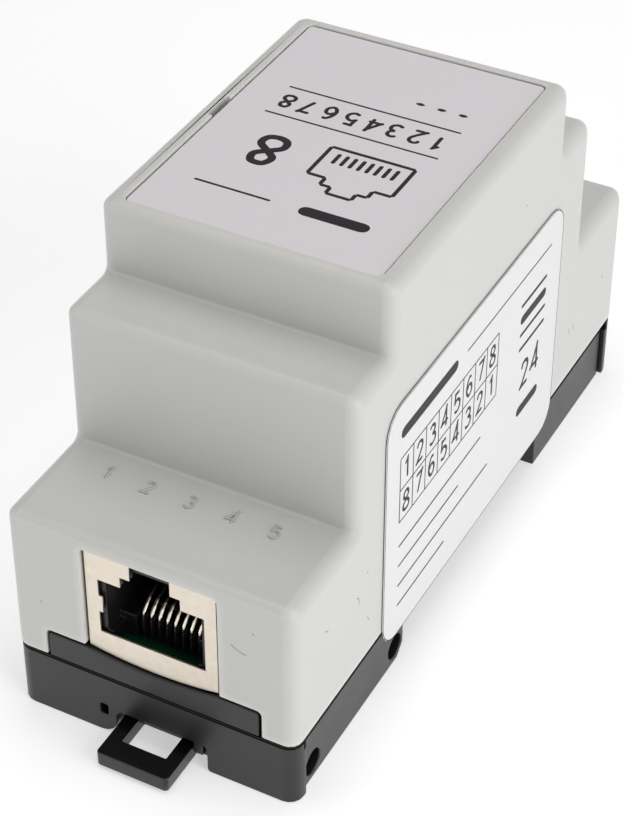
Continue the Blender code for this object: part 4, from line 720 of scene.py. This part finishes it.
def port_sign(middle, width, line):
    """Strokes of a network port's outline, stepped up to its keyway, with eight bars for its contacts."""
    half = np.array([(1.0, -0.8), (1.0, 0.35), (0.56, 0.35), (0.56, 0.62), (0.3, 0.62), (0.3, 0.86)])
    outline = np.vstack((half, (half * (-1, 1))[::-1], half[:1])) * width / 2 + middle
    sides = [straight(a, b, line) for a, b in zip(outline[:-1], outline[1:])]
    bars = [straight((x, -0.62), (x, -0.2), line) for x in np.linspace(-0.7, 0.7, 8)]
    return sides + [(path * width / 2 + middle, thick) for path, thick in bars]


# Black ink, heavy on the top label; on the side label it is a thinner, greyer print.
black_ink = printing_ink("black label ink", "19151A")
grey_ink = printing_ink("thin black label ink", "343335")

# Top label, read from the far end: a bar, the port, a row of numerals between two rules.
strokes = [
    straight((-10.5 * MM, 14.2 * MM), (-2.0 * MM, 14.2 * MM), 1.7 * MM),
    straight((1.5 * MM, 14.2 * MM), (11.0 * MM, 14.2 * MM), 0.35 * MM),
    *port_sign((-4.6 * MM, 5.6 * MM), 10.4 * MM, 0.5 * MM),
    *numerals("8", 5.6 * MM, 0.0, 0.95 * MM, (6.6 * MM, 5.4 * MM)),
    straight((-11.0 * MM, -1.8 * MM), (11.0 * MM, -1.8 * MM), 0.3 * MM),
    *numerals("12345678", 2.5 * MM, 2.75 * MM, 0.48 * MM, (0.0, -4.8 * MM)),
    straight((-11.0 * MM, -7.8 * MM), (11.0 * MM, -7.8 * MM), 0.3 * MM),
    *[straight((x * MM, -11.6 * MM), (x * MM, -11.0 * MM), 1.5 * MM) for x in (-9.6, -6.9, -4.2)],
]
corners, faces = beads(strokes, INK)
corners = corners * (-1, -1, 1) + (HOUSING_X, HOUSING_Y, TOP_LABEL_FACE)
top_print = new_piece("top_label_print", corners, faces, black_ink)

# Side label: a bar over a table of numerals, blank lines below it, and a column of bars beside it.
strokes = [
    straight((-20.5 * MM, 12.6 * MM), (-6.0 * MM, 12.6 * MM), 1.5 * MM),
    straight((-3.5 * MM, 12.6 * MM), (20.5 * MM, 12.6 * MM), 0.25 * MM),
    *[straight((-20.5 * MM, z * MM), (5.5 * MM, z * MM), 0.22 * MM) for z in (9.2, 4.6, 0.0)],
    *[straight((y * MM, 0.0), (y * MM, 9.2 * MM), 0.22 * MM) for y in np.linspace(-20.5, 5.5, 9)],
    *numerals("12345678", 2.7 * MM, 3.25 * MM, 0.42 * MM, (-7.5 * MM, 6.9 * MM)),
    *numerals("87654321", 2.7 * MM, 3.25 * MM, 0.42 * MM, (-7.5 * MM, 2.3 * MM)),
    *[straight((-20.5 * MM, z * MM), (y * MM, z * MM), 0.3 * MM)
      for z, y in ((-3.6, 1.5), (-6.6, -4.5), (-9.6, 4.0), (-12.6, -8.0))],
    *[straight((12.0 * MM, z * MM), (19.6 * MM, z * MM), w * MM)
      for z, w in ((8.6, 0.5), (6.4, 1.3), (4.2, 0.5), (2.0, 0.5))],
    *numerals("24", 3.6 * MM, 3.2 * MM, 0.55 * MM, (15.8 * MM, -2.6 * MM)),
    straight((12.4 * MM, -8.0 * MM), (18.8 * MM, -8.0 * MM), 1.4 * MM),
]
# A fine dark line runs round the label's edge, in the side label's ink: four quarter circles, joined
# straight.
quarter = np.linspace(0, np.pi / 2, 9)
arcs = [np.stack((along * (HALF_LENGTH - CORNER_RADIUS) + CORNER_RADIUS * np.cos(quarter + turn),
                  up * (HALF_HEIGHT - CORNER_RADIUS) + CORNER_RADIUS * np.sin(quarter + turn)), axis=1)
        for along, up, turn in ((1, 1, 0.0), (-1, 1, np.pi / 2), (-1, -1, np.pi), (1, -1, 1.5 * np.pi))]
strokes.append((np.vstack((*arcs, arcs[0][:1])), EDGE_LINE_WIDTH))
corners, faces = beads(strokes, INK)
corners = corners[:, [2, 0, 1]] + (HOUSING_X + SIDE_LABEL_FACE, HOUSING_Y + SIDE_LABEL_Y, SIDE_LABEL_Z)
side_print = new_piece("side_label_print", corners, faces, grey_ink)
for sheet_print in (top_print, side_print):
    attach(sheet_print, "housing")
